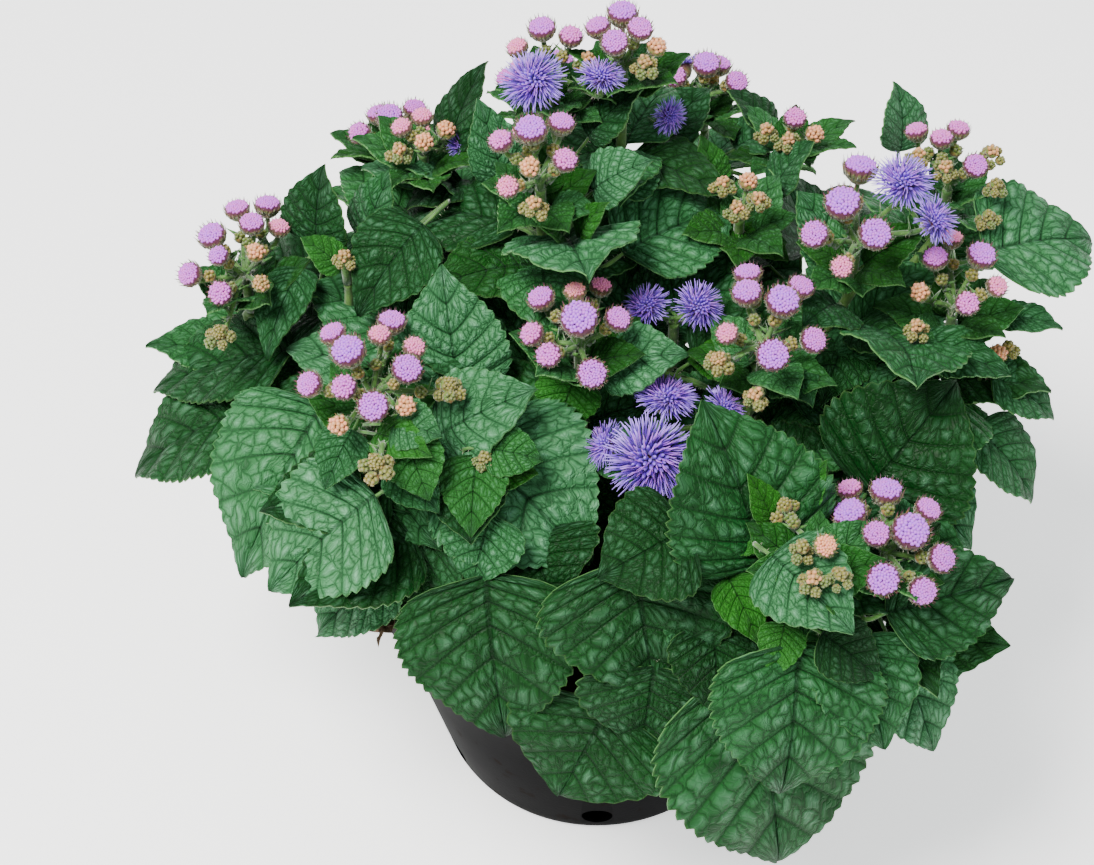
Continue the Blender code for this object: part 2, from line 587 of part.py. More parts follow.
def build_soil(stems, parts, holes, look):
    """The root ball: it fills the pot to just below the rim, with a plain hole for each stem."""
    floor, top = BASE_T + SEAT, SOIL_TOP
    inside = wall_radius(RIM_TOP - COLLAR_DROP) - WALL - 0.5
    profile = [(0, top), (inside * 0.5, top + SOIL_LUMP), (inside, top - SOIL_LUMP),
               (inside - 1.2, RIM_TOP - COLLAR_DROP - 4), (BASE_R - WALL - 3.2, floor), (0, floor)]
    soil = turned("soil", profile, parts, SOIL_SEGMENTS)
    soil.data.materials.append(look)
    for key, points in stems.items():
        if key in BRANCHES:
            continue
        foot = points[0]
        shape = bmesh.new()
        depth, radius = HOLE_DEPTH + HOLE_OVER, STEM_R + HOLE_GAP
        centre = Vector((foot.x, foot.y, foot.z - SEAT + depth / 2))
        bmesh.ops.create_cone(shape, cap_ends=True, segments=HOLE_SIDES, radius1=radius, radius2=radius,
                              depth=depth, matrix=Matrix.Translation(centre))
        bmesh.ops.scale(shape, vec=(MM, MM, MM), verts=shape.verts)
        mesh = bpy.data.meshes.new("hole")
        shape.to_mesh(mesh)
        shape.free()
        cutter = object_of(f"hole_{key}", mesh, holes)
        cutter.hide_render = True
        cutter.display_type = "WIRE"
    cut = soil.modifiers.new("Holes", "BOOLEAN")
    cut.operation = "DIFFERENCE"
    cut.operand_type = "COLLECTION"
    cut.collection = holes


def ring_leaves():
    """The rings of leaves at the back and inside, spread evenly between their headings."""
    draw = random.Random(7)
    for stems, count, first, last, radius, height, rise, length, width in RINGS:
        for i in range(count):
            heading = math.radians(first + (last - first) * i / (count - 1) + draw.uniform(-5, 5))
            way = Vector((math.cos(heading), math.sin(heading), 0))
            size = draw.uniform(0.88, 1.05)
            base = way * radius + Vector((0, 0, height + draw.uniform(-3, 3)))
            pitch = math.radians(rise + draw.uniform(-6, 6))
            tip = base + (way * math.cos(pitch) + Vector((0, 0, math.sin(pitch)))) * length * size
            yield Leaf(stems[i % len(stems)], base, tip, width * size)


def main():
    clear_scene()
    parts = collection("ageratum")
    cutters = collection("pot cutters")
    holes = collection("soil cutters")
    pot_look = material("pot plastic", (0.030, 0.030, 0.034), 0.45)
    soil_look = material("soil", (0.055, 0.035, 0.022), 0.95)
    leaf_look = material("leaf", (0.050, 0.200, 0.055), 0.6)
    flower_look = material("flower", (0.480, 0.280, 0.620), 0.8)

    stems = all_stems()
    pot = build_pot(parts, cutters, pot_look)
    build_soil(stems, parts, holes, soil_look)
    blocked = Obstacles()
    blocked.add("pot", mesh_tree(evaluated_mesh(pot)))

    clusters, shoots = {}, {}
    for key, cluster in CLUSTERS.items():
        clusters[key] = collection(f"flowers {key}")
        build_cluster(key + " flowers", cluster, blocked, clusters[key])
        owner = BRANCHES.get(key, key)
        if owner not in shoots:
            shoots[owner] = collection(f"shoot {owner}")
        count, thick = len(stems[key]), BRANCH_R if key in BRANCHES else STEM_R
        radii = [thick + (STEM_TIP_R - thick) * i / (count - 1) for i in range(count)]
        shoot = tube(stems[key], radii, shoots[owner])
        blocked.add(owner, mesh_tree(shoot.data))

    for leaf in LEAVES + list(ring_leaves()):
        place_leaf(leaf, stems, blocked, shoots[BRANCHES.get(leaf.stem, leaf.stem)])

    for key, pieces in shoots.items():
        fused(f"leafy_stem_{key}", pieces, parts, leaf_look)
    for key, pieces in clusters.items():
        fused(f"flower_cluster_{key}", pieces, parts, flower_look)


main()
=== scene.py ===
"""The looks of a potted ageratum: toothed quilted leaves, hairy stems, lilac heads, open blooms and the pot.

Every piece stands where its CAD node is. Tables are millimetres in the CAD frame: +Z up, the front at -Y.
"""

import functools
import json
import logging
import math
import random
from collections.abc import Iterator, Sequence
from dataclasses import dataclass, field, replace
from enum import Enum

import bmesh
import bpy
import numpy as np
from mathutils import Matrix, Vector, noise

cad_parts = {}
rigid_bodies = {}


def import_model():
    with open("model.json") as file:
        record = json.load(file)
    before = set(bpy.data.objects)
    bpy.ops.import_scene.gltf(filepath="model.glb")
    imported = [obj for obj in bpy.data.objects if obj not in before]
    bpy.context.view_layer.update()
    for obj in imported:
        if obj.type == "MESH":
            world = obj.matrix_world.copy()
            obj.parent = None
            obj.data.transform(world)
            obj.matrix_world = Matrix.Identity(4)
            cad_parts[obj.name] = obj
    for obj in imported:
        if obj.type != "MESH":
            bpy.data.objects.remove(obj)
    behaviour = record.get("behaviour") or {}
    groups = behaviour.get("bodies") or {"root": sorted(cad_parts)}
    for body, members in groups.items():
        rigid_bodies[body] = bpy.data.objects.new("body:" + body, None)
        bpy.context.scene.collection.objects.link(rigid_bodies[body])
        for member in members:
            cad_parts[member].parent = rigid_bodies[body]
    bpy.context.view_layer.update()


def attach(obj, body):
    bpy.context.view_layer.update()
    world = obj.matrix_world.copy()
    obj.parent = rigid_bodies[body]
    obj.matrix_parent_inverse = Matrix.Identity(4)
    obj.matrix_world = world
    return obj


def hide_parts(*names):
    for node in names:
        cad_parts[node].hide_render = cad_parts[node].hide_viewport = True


log = logging.getLogger("ageratum")

MM = 0.001
GOLDEN = math.pi * (3 - math.sqrt(5))
STRAY = 0.04
Colour = tuple[float, float, float]
Place = tuple[float, float, float]


def linear(red: float, green: float, blue: float) -> Colour:
    """Turns a screen colour, 0 to 255, into the linear colour that a shader takes.

    Args:
        red: Red as a screen shows it.
        green: Green as a screen shows it.
        blue: Blue as a screen shows it.

    Returns:
        The linear red, green and blue.
    """
    return tuple((c / 255) ** 2.2 for c in (red, green, blue))


class Sock:
    """A shader socket that takes part in arithmetic: each operator adds the Math node that it stands for."""

    def __init__(self, shade: "Shade", socket: bpy.types.NodeSocket) -> None:
        """Keeps the socket and the tree it belongs to."""
        self.shade = shade
        self.socket = socket

    def __add__(self, other: "Sock | float") -> "Sock":
        """Adds."""
        return self.shade.math("ADD", self, other)

    def __radd__(self, other: float) -> "Sock":
        """Adds, with the number first."""
        return self.shade.math("ADD", other, self)

    def __sub__(self, other: "Sock | float") -> "Sock":
        """Subtracts."""
        return self.shade.math("SUBTRACT", self, other)

    def __rsub__(self, other: float) -> "Sock":
        """Subtracts this socket from a number."""
        return self.shade.math("SUBTRACT", other, self)

    def __mul__(self, other: "Sock | float") -> "Sock":
        """Multiplies."""
        return self.shade.math("MULTIPLY", self, other)

    def __rmul__(self, other: float) -> "Sock":
        """Multiplies, with the number first."""
        return self.shade.math("MULTIPLY", other, self)

    def __abs__(self) -> "Sock":
        """Drops the sign."""
        return self.shade.math("ABSOLUTE", self)

    def part(self) -> "Sock":
        """Keeps the part after the decimal point."""
        return self.shade.math("FRACT", self)

    def most(self, other: "Sock | float") -> "Sock":
        """Takes the larger of the two."""
        return self.shade.math("MAXIMUM", self, other)

    def rise(self, low: float, high: float) -> "Sock":
        """Rises smoothly from 0 at low to 1 at high.

        Args:
            low: Where the rise starts.
            high: Where the rise ends.

        Returns:
            The share, from 0 to 1.
        """
        settings = {"interpolation_type": "SMOOTHSTEP"}
        sockets = {"Value": self, "From Min": low, "From Max": high}
        return self.shade.of("ShaderNodeMapRange", settings, sockets)


class Shade:
    """A material's node tree, with the few ways in which this script adds nodes to it."""

    def __init__(self, name: str) -> None:
        """Starts a material with its Principled shader.

        Args:
            name: The material's name.
        """
        self.material = bpy.data.materials.new(name)
        self.material.use_nodes = True
        self.tree = self.material.node_tree
        self.shader = self.tree.nodes["Principled BSDF"]

    def node(self, kind: str, settings: dict | None = None, sockets: dict | None = None) -> bpy.types.Node:
        """Adds a node.

        Args:
            kind: The node's type.
            settings: Its settings, which are set first; "stops" holds a colour ramp's stops.
            sockets: Values or links of its input sockets, by name or number.

        Returns:
            The new node.
        """
        made = self.tree.nodes.new(kind)
        for key, value in (settings or {}).items():
            if key == "stops":
                self.ramp(made.color_ramp, value)
            else:
                setattr(made, key, value)
        for key, value in (sockets or {}).items():
            self.feed(made.inputs[key], value)
        return made

    def ramp(self, ramp: bpy.types.ColorRamp, stops: Sequence[tuple[float, Colour]]) -> None:
        """Sets a colour ramp's stops.

        Args:
            ramp: The ramp.
            stops: Each stop's position and colour.
        """
        while len(ramp.elements) < len(stops):
            ramp.elements.new(0.5)
        for element, (position, colour) in zip(ramp.elements, stops):
            element.position = position
            element.color = (*colour, 1.0)

    def feed(self, socket: bpy.types.NodeSocket, value: object) -> None:
        """Links a socket or sets its value.

        Args:
            socket: The input socket.
            value: A Sock to link, or a value to set.
        """
        if isinstance(value, Sock):
            self.tree.links.new(value.socket, socket)
        elif isinstance(value, tuple) and len(value) == 3 and socket.type == "RGBA":
            socket.default_value = (*value, 1.0)
        else:
            socket.default_value = value

    def of(self, kind: str, settings: dict | None = None, sockets: dict | None = None,
           output: int = 0) -> Sock:
        """Adds a node and gives one of its outputs."""
        return Sock(self, self.node(kind, settings, sockets).outputs[output])

    def math(self, operation: str, *values: "Sock | float") -> Sock:
        """Adds a Math node."""
        return self.of("ShaderNodeMath", {"operation": operation}, dict(enumerate(values)))

    def attribute(self, name: str) -> Sock:
        """Reads a number that the mesh holds at its points."""
        return self.of("ShaderNodeAttribute", {"attribute_name": name}, None, 2)

    def mix(self, share: "Sock | float", low: "Sock | Colour", high: "Sock | Colour",
            how: str = "MIX") -> Sock:
        """Mixes two colours.

        Args:
            share: How much of the second colour shows.
            low: The first colour.
            high: The second colour.
            how: The blend type.

        Returns:
            The mixed colour.
        """
        settings = {"data_type": "RGBA", "blend_type": how}
        return self.of("ShaderNodeMix", settings, {0: share, 6: low, 7: high}, 2)

    def place(self) -> Sock:
        """The point on the object, in metres."""
        return self.of("ShaderNodeTexCoord", None, None, 3)

    def vector(self, x: "Sock | float", y: "Sock | float", z: "Sock | float") -> Sock:
        """Joins three numbers to a vector."""
        return self.of("ShaderNodeCombineXYZ", None, {0: x, 1: y, 2: z})

    def grain(self, scale: float, detail: float = 2.0) -> Sock:
        """Smooth noise from 0 to 1."""
        return self.of("ShaderNodeTexNoise", None, {"Vector": self.place(), "Scale": scale, "Detail": detail})

    def cells(self, scale: float, at: Sock) -> Sock:
        """How far a point is from the border of its cell, in a pattern of cells."""
        settings = {"feature": "DISTANCE_TO_EDGE"}
        return self.of("ShaderNodeTexVoronoi", settings, {"Vector": at, "Scale": scale})

    def bump(self, height: Sock, depth: float, strength: float = 1.0) -> Sock:
        """A bump of the given depth in metres."""
        return self.of("ShaderNodeBump", None, {"Height": height, "Distance": depth, "Strength": strength})

    def dress(self, **sockets: object) -> bpy.types.Material:
        """Sets the Principled shader's sockets, whose names are given with underscores for spaces.

        Args:
            **sockets: Values or links, by the socket's name.

        Returns:
            The material.
        """
        for key, value in sockets.items():
            self.feed(self.shader.inputs[key.replace("_", " ")], value)
        return self.material


@dataclass(frozen=True)
class Finish:
    """A surface finish, made once and shared by every piece that has it."""

    name: str

    def material(self) -> bpy.types.Material:
        """The finish's material, which is made on first use."""
        return bpy.data.materials.get(self.name) or self.make()

    def make(self) -> bpy.types.Material:
        """Builds the material's nodes."""
        raise NotImplementedError


@dataclass(frozen=True)
class LeafFinish(Finish):
    """Quilted leaf: deep to young green cushions between sunken veins, with a paler underside.

    The sunken veins, the creases between cushions and the midrib are darkened with painted shade, and the
    cushions carry a pale blue-green painted sheen highlight. The blade stores its shares along and across,
    and its tone: 0 for a dark leaf, darkened with painted shade, and 1 for one whose cushions carry the most
    painted sheen highlight.
    """

    name: str = "leaf blade"
    veins: int = 7
    cells_along: float = 13.0
    cells_across: float = 6.0
    small_cells: float = 2.7
    # Strength of the painted shade in the creases between cells.
    crease_shade: float = 0.52
    # Shares of the painted sheen highlight on the cushions.
    cloudy_painted_sheen: float = 0.26
    toned_painted_sheen: float = 0.34
    overall_painted_sheen: float = 0.20
    relief: float = 0.0006
    # Deep green, which also paints shade on leaves of low tone and on the fine net of small cells.
    deep: Colour = linear(7, 48, 13)
    full: Colour = linear(26, 88, 36)
    # Colour of the painted sheen highlight on the cushions.
    painted_sheen: Colour = linear(106, 162, 124)
    young: Colour = linear(48, 118, 22)
    # Painted shade for the sunken side veins, the creases and the midrib.
    painted_crease_shade: Colour = linear(4, 30, 10)
    under: Colour = linear(104, 152, 92)
    rim: Colour = linear(110, 150, 80)

    def make(self) -> bpy.types.Material:
        """Builds the material from the blade's own shares along and across.

        Returns:
            The material.
        """
        shade = Shade(self.name)
        along, across = shade.attribute("along"), abs(shade.attribute("across"))
        age, tone, below = shade.attribute("age"), shade.attribute("tone"), shade.attribute("below")
        step = (along * float(self.veins)).part()
        off = 0.5 - abs(step - 0.5)
        side_vein = (1.0 - off.rise(0.0, 0.08)) * (1.0 - across * 0.45)
        midrib = 1.0 - across.rise(0.012, 0.05)
        stray = shade.grain(260.0, 1.0) - 0.5
        on_leaf = shade.vector(along * self.cells_along + stray,
                               shade.attribute("across") * self.cells_across + stray, tone * 30.0)
        cell = shade.cells(1.0, on_leaf)
        small = shade.cells(self.small_cells, on_leaf)
        cushion = cell.rise(0.0, 0.42) * off.rise(0.0, 0.30)
        # Painted shade at the borders of the cells.
        crease_shade = (1.0 - cell.rise(0.0, 0.09)) * self.crease_shade
        patch = shade.grain(60.0, 3.0)
        cloud = shade.grain(160.0, 2.0)
        # Deep to full green by random patches and by tone; a low tone paints shade over the whole leaf.
        colour = shade.mix((patch * 0.6 + tone * 0.8 - 0.1).rise(0.1, 1.0), self.deep, self.full)
        # Painted sheen highlight: a pale blue-green on the cushions, more on leaves of high tone, and over
        # the whole of the brightest leaves.
        painted_sheen_share = cushion * (cloud.rise(0.20, 0.80) * self.cloudy_painted_sheen + tone * self.toned_painted_sheen)
        painted_sheen_share = painted_sheen_share + tone * tone * self.overall_painted_sheen
        colour = shade.mix(painted_sheen_share, colour, self.painted_sheen)
        colour = shade.mix(age, colour, self.young)
        # Painted shade in the sunken side veins and the creases, in the fine net of small cells, and along
        # the midrib.
        colour = shade.mix((side_vein * 0.85).most(crease_shade), colour, self.painted_crease_shade)
        colour = shade.mix((1.0 - small.rise(0.0, 0.12)) * 0.22, colour, self.deep)
        colour = shade.mix(midrib * 0.55, colour, self.painted_crease_shade)
        colour = shade.mix(across.rise(0.975, 1.0) * 0.12, colour, self.rim)
        colour = shade.mix(below * 0.7, colour, self.under)
        height = cushion * 0.75 + small.rise(0.0, 0.2) * 0.25 - side_vein * 0.5 - midrib * 0.6
        fuzz = shade.grain(2600.0, 1.0)
        return shade.dress(
            Base_Color=colour,
            Roughness=0.44 + patch * 0.16 - cushion * 0.06,
            Specular_IOR_Level=0.12,
            Normal=shade.bump(height + fuzz * 0.10, self.relief, 0.9),
            Sheen_Weight=0.03,
            Sheen_Roughness=0.4,
            Sheen_Tint=linear(190, 236, 214),
        )


@dataclass(frozen=True)
class StemFinish(Finish):
    """Pale green hairy stem and stalk, a little red where it is older."""

    name: str = "stem"
    green: Colour = linear(74, 128, 44)
    dark: Colour = linear(36, 84, 24)
    red: Colour = linear(108, 66, 44)

    def make(self) -> bpy.types.Material:
        """Builds the material.

        Returns:
            The material.
        """
        shade = Shade(self.name)
        streak = shade.grain(420.0, 3.0)
        colour = shade.mix(streak.rise(0.3, 0.75), self.dark, self.green)
        colour = shade.mix(shade.attribute("tone") * 0.45 * streak, colour, self.red)
        return shade.dress(
            Base_Color=colour,
            Roughness=0.55 + streak * 0.2,
            Normal=shade.bump(shade.grain(1500.0), 0.0002, 0.8),
            Sheen_Weight=0.35,
        )


@dataclass(frozen=True)
class FloretFinish(Finish):
    """Closed florets: yellow-green when youngest, then tan, peach and pink, and lilac before they open."""

    name: str = "floret"
    stops: tuple = (
        (0.0, linear(80, 104, 18)), (0.24, linear(124, 112, 30)), (0.40, linear(226, 148, 98)),
        (0.60, linear(214, 104, 162)), (0.80, linear(192, 80, 198)), (1.0, linear(168, 76, 230)),
    )

    def make(self) -> bpy.types.Material:
        """Builds the material: the lower sides of each floret are darkened with painted shade, and its tip is
        paler, with a painted highlight.

        Returns:
            The material.
        """
        shade = Shade(self.name)
        tip, tone = shade.attribute("tip"), shade.attribute("tone")
        ripe = shade.attribute("ripe") + (tone - 0.5) * 0.10
        colour = shade.of("ShaderNodeValToRGB", {"stops": self.stops}, {0: ripe})
        # Painted highlight: a pale pink on the top of each floret. Painted shade: a darker plum multiplied
        # over each floret's lower sides.
        pale = shade.mix(0.22, colour, linear(255, 220, 250))
        side = shade.mix(0.38, colour, linear(150, 60, 130), "MULTIPLY")
        colour = shade.mix(tip.rise(0.15, 0.6), side, colour)
        colour = shade.mix(tip.rise(0.75, 1.0) * 0.5, colour, pale)
        return shade.dress(
            Base_Color=colour,
            Roughness=0.62 + tone * 0.15,
            Normal=shade.bump(shade.grain(3200.0), 0.0001, 0.6),
            Sheen_Weight=0.3,
        )


@dataclass(frozen=True)
class BractFinish(Finish):
    """Cup and bracts: hairy green-brown below, with plum tips."""

    name: str = "bract"
    green: Colour = linear(84, 110, 34)
    brown: Colour = linear(128, 94, 44)
    plum: Colour = linear(74, 10, 46)

    def make(self) -> bpy.types.Material:
        """Builds the material from the share towards the tip.

        Returns:
            The material.
        """
        shade = Shade(self.name)
        tip = shade.attribute("tip")
        spots = shade.grain(900.0, 2.0)
        colour = shade.mix(spots.rise(0.35, 0.7), self.green, self.brown)
        colour = shade.mix(tip.rise(0.35, 0.80) * shade.attribute("ripe").rise(0.3, 0.7), colour, self.plum)
        return shade.dress(
            Base_Color=colour,
            Roughness=0.7 + spots * 0.15,
            Normal=shade.bump(spots, 0.0002, 0.6),
            Sheen_Weight=0.4,
        )


@dataclass(frozen=True)
class ThreadFinish(Finish):
    """Open florets' threads: violet, paler at their tips, and pinker in the middle of the bloom."""

    name: str = "thread"
    root: Colour = linear(62, 12, 120)
    middle: Colour = linear(88, 30, 174)
    tip: Colour = linear(174, 136, 250)
    pink: Colour = linear(176, 86, 206)

    def make(self) -> bpy.types.Material:
        """Builds the material from the share towards the tip.

        Returns:
            The material.
        """
        shade = Shade(self.name)
        tip, tone = shade.attribute("tip"), shade.attribute("tone")
        colour = shade.mix(tip.rise(0.0, 0.5), self.root, self.middle)
        colour = shade.mix((tip - 0.15 + tone * 0.3).rise(0.50, 1.0), colour, self.tip)
        inner = shade.attribute("inner").rise(0.40, 0.95) * tip.rise(0.3, 0.9)
        colour = shade.mix(inner * 0.75, colour, self.pink)
        return shade.dress(
            Base_Color=colour,
            Roughness=0.6 + tone * 0.1,
            Normal=shade.bump(shade.grain(2800.0), 0.0001, 0.4),
            Sheen_Weight=0.2,
        )


@dataclass(frozen=True)
class HairFinish(Finish):
    """Fine pale hairs on stems, stalks and cups."""

    name: str = "hair"
    pale: Colour = linear(214, 222, 196)
    warm: Colour = linear(196, 180, 160)

    def make(self) -> bpy.types.Material:
        """Builds the material.

        Returns:
            The material.
        """
        shade = Shade(self.name)
        colour = shade.mix(shade.grain(300.0), self.pale, self.warm)
        return shade.dress(Base_Color=colour, Roughness=0.6, Alpha=0.75)


@dataclass(frozen=True)
class PotFinish(Finish):
    """Charcoal moulded plastic, nearly matt, with a little dust that is thicker low on the wall."""

    name: str = "pot plastic"
    dark: Colour = linear(10, 10, 11)
    light: Colour = linear(24, 24, 26)
    earth: Colour = linear(46, 32, 20)

    def make(self) -> bpy.types.Material:
        """Builds the material from Object coordinates.

        Returns:
            The material.
        """
        shade = Shade(self.name)
        cloud = shade.grain(38.0, 4.0)
        spots = shade.grain(210.0, 5.0)
        height = shade.of("ShaderNodeSeparateXYZ", None, {0: shade.place()}, 2)
        low = 1.0 - height.rise(0.0, 0.05)
        colour = shade.mix(cloud.rise(0.35, 0.8) * 0.4, self.dark, self.light)
        dust = (spots.rise(0.60, 0.74) * (0.08 + low * 0.3)) + (cloud * spots).rise(0.36, 0.5) * 0.2
        colour = shade.mix(dust * 0.6, colour, self.earth)
        return shade.dress(
            Base_Color=colour,
            Roughness=0.42 + cloud * 0.16 + dust * 0.35,
            Normal=shade.bump(shade.grain(1400.0, 3.0), 0.00008, 0.5),
            Specular_IOR_Level=0.008,
        )


@dataclass(frozen=True)
class SoilFinish(Finish):
    """Dark damp potting soil with paler fibres."""

    name: str = "soil"
    dark: Colour = linear(34, 26, 20)
    brown: Colour = linear(78, 58, 42)

    def make(self) -> bpy.types.Material:
        """Builds the material.

        Returns:
            The material.
        """
        shade = Shade(self.name)
        grains = shade.grain(520.0, 5.0)
        colour = shade.mix(grains.rise(0.35, 0.72), self.dark, self.brown)
        return shade.dress(
            Base_Color=colour,
            Roughness=0.82 + grains * 0.12,
            Normal=shade.bump(grains, 0.0009, 1.0),
        )


@dataclass(frozen=True)
class DriedFinish(Finish):
    """Brown dried leaf scraps."""

    name: str = "dried leaf"
    brown: Colour = linear(104, 82, 58)
    dark: Colour = linear(58, 42, 30)

    def make(self) -> bpy.types.Material:
        """Builds the material.

        Returns:
            The material.
        """
        shade = Shade(self.name)
        cloud = shade.grain(340.0, 4.0)
        colour = shade.mix(cloud.rise(0.3, 0.7), self.dark, self.brown)
        return shade.dress(Base_Color=colour, Roughness=0.75 + cloud * 0.15, Normal=shade.bump(cloud, 0.0005))


@dataclass(frozen=True)
class FloorFinish(Finish):
    """Plain pale studio floor."""

    name: str = "floor"
    pale: Colour = linear(252, 252, 252)

    def make(self) -> bpy.types.Material:
        """Builds the material.

        Returns:
            The material.
        """
        shade = Shade(self.name)
        return shade.dress(Base_Color=self.pale, Roughness=0.9, Emission_Color=(*self.pale, 1.0),
                           Emission_Strength=1.0)


def points_of(mesh: bpy.types.Mesh) -> np.ndarray:
    """The mesh's points, one row each.

    Args:
        mesh: The mesh.

    Returns:
        The points' places.
    """
    flat = np.empty(len(mesh.vertices) * 3, np.float32)
    mesh.vertices.foreach_get("co", flat)
    return flat.reshape(-1, 3).astype(np.float64)


def move_points(mesh: bpy.types.Mesh, points: np.ndarray) -> None:
    """Puts the mesh's points where the rows say."""
    mesh.vertices.foreach_set("co", points.astype(np.float32).ravel())
    mesh.update()


def mark(mesh: bpy.types.Mesh, name: str, values: "np.ndarray | float") -> None:
    """Stores a number at each point, for the finishes to read."""
    layer = mesh.attributes.get(name) or mesh.attributes.new(name, "FLOAT", "POINT")
    layer.data.foreach_set("value", np.broadcast_to(values, len(mesh.vertices)).astype(np.float32))


def mesh_of(shape: bmesh.types.BMesh, name: str, finish: Finish) -> bpy.types.Mesh:
    """Turns a bmesh into a smooth mesh with its finish, and frees it.

    Args:
        shape: The bmesh.
        name: The mesh's name.
        finish: Its finish.

    Returns:
        The mesh.
    """
    mesh = bpy.data.meshes.new(name)
    shape.to_mesh(mesh)
    shape.free()
    mesh.materials.append(finish.material())
    mesh.shade_smooth()
    return mesh


def evaluated(obj: bpy.types.Object) -> bpy.types.Mesh:
    """The object's mesh with its modifiers applied."""
    graph = bpy.context.evaluated_depsgraph_get()
    return bpy.data.meshes.new_from_object(obj.evaluated_get(graph))


def copies(mesh: bpy.types.Mesh, frames: np.ndarray, feet: np.ndarray) -> bpy.types.Mesh:
    """Copies a small mesh many times, by an Array modifier, and sets each copy in its place.

    Args:
        mesh: The small mesh.
        frames: One 3 by 3 matrix for each copy, whose columns are the copy's scaled axes.
        feet: One origin for each copy.

    Returns:
        One mesh with all the copies.
    """
    obj = bpy.data.objects.new("copies", mesh)
    bpy.context.scene.collection.objects.link(obj)
    row = obj.modifiers.new("Copies", "ARRAY")
    row.count = len(feet)
    row.use_relative_offset = False
    made = evaluated(obj)
    bpy.data.objects.remove(obj, do_unlink=True)
    places = np.einsum("nij,vj->nvi", frames, points_of(mesh)) + feet[:, None, :]
    move_points(made, places.reshape(-1, 3))
    return made


def unit(rows: np.ndarray) -> np.ndarray:
    """Scales each row to length 1."""
    return rows / np.maximum(np.linalg.norm(rows, axis=-1, keepdims=True), 1e-9)


def aimed(ways: np.ndarray, wide: "np.ndarray | float", thick: "np.ndarray | float",
          long: "np.ndarray | float", outward: np.ndarray | None = None) -> np.ndarray:
    """Frames that point +Z of a small mesh along given ways.

    Args:
        ways: One direction for each copy.
        wide: Scale along the copy's X.
        thick: Scale along the copy's Y.
        long: Scale along the copy's Z.
        outward: What the copy's Y should face, where that matters.

    Returns:
        One 3 by 3 matrix for each copy.
    """
    ways = unit(ways)
    outward = np.roll(ways, 1, axis=-1) + 0.1 if outward is None else outward
    across = unit(np.cross(outward, ways))
    facing = np.cross(ways, across)
    scale = [np.broadcast_to(s, len(ways))[:, None] for s in (wide, thick, long)]
    return np.stack([across * scale[0], facing * scale[1], ways * scale[2]], axis=-1)


@functools.cache
def cylinder(rings: int, sides: int) -> bpy.types.Mesh:
    """A unit cylinder from z 0 to 1 with evenly spaced rings, the start of every tube.

    Args:
        rings: How many rings it has.
        sides: How many sides it has.

    Returns:
        The mesh.
    """
    shape = bmesh.new()
    bmesh.ops.create_cone(shape, cap_ends=True, segments=sides, radius1=1, radius2=1, depth=1,
                          matrix=Matrix.Translation((0, 0, 0.5)))
    upright = [e for e in shape.edges if abs(e.verts[0].co.z - e.verts[1].co.z) > 0.5]
    if rings > 2:
        bmesh.ops.subdivide_edges(shape, edges=upright, cuts=rings - 2, use_grid_fill=True)
    mesh = bpy.data.meshes.new("cylinder")
    shape.to_mesh(mesh)
    shape.free()
    mesh.shade_smooth()
    return mesh


def turned(profile: Sequence[tuple[float, float]], sides: int, finish: Finish) -> bpy.types.Mesh:
    """A small turned solid: the cylinder with its rings set to the profile's radii and heights.

    Args:
        profile: Radius and height of each ring, from the bottom up.
        sides: How many sides it has.
        finish: Its finish.

    Returns:
        The mesh, with the share towards its top in "tip".
    """
    mesh = cylinder(len(profile), sides).copy()
    points = points_of(mesh)
    ring = np.rint(points[:, 2] * (len(profile) - 1)).astype(int)
    radius, height = np.array(profile).T
    points[:, :2] *= radius[ring][:, None]
    points[:, 2] = height[ring]
    move_points(mesh, points)
    mesh.materials.append(finish.material())
    mark(mesh, "tip", ring / (len(profile) - 1))
    return mesh


def curve_through(corners: Sequence[Vector], steps: int) -> list[Vector]:
    """A smooth curve through points.

    Args:
        corners: The points.
        steps: How many spans it has between two of them.

    Returns:
        The points of the curve.
    """
    ends = [corners[0] * 2 - corners[1], *corners, corners[-1] * 2 - corners[-2]]
    route = []
    for a, b, c, d in zip(ends, ends[1:], ends[2:], ends[3:]):
        for i in range(steps):
            t = i / steps
            route.append(0.5 * (2 * b + (c - a) * t + (2 * a - 5 * b + 4 * c - d) * t ** 2
                                + (3 * b - a - 3 * c + d) * t ** 3))
    return [*route, Vector(corners[-1])]


def ring_frames(route: Sequence[Vector]) -> tuple[np.ndarray, np.ndarray]:
    """Two directions across the route at each of its points, which don't spin about it.

    Args:
        route: The route's points.

    Returns:
        The first and the second direction at each point.
    """
    side = (route[1] - route[0]).orthogonal().normalized()
    firsts, seconds = [], []
    for i, point in enumerate(route):
        ahead = (route[min(i + 1, len(route) - 1)] - route[max(i - 1, 0)]).normalized()
        side = (side - ahead * side.dot(ahead)).normalized()
        firsts.append(side)
        seconds.append(ahead.cross(side))
    return np.array(firsts), np.array(seconds)


def tube(route: Sequence[Vector], first: float, last: float, sides: int, finish: Finish,
         tone: float = 0.0) -> bpy.types.Mesh:
    """A tapered tube along a route.

    Args:
        route: Its points, in millimetres.
        first: Its radius at the start.
        last: Its radius at the end.
        sides: How many sides it has.
        finish: Its finish.
        tone: How red it is.

    Returns:
        The mesh, in metres.
    """
    mesh = cylinder(len(route), sides).copy()
    points = points_of(mesh)
    ring = np.rint(points[:, 2] * (len(route) - 1)).astype(int)
    share = ring / (len(route) - 1)
    first_way, second_way = ring_frames(route)
    radius = (first + (last - first) * share)[:, None]
    centre = np.array([list(p) for p in route])[ring]
    offset = first_way[ring] * points[:, :1] + second_way[ring] * points[:, 1:2]
    move_points(mesh, (centre + offset * radius) * MM)
    mesh.materials.append(finish.material())
    mark(mesh, "tone", tone)
    return mesh


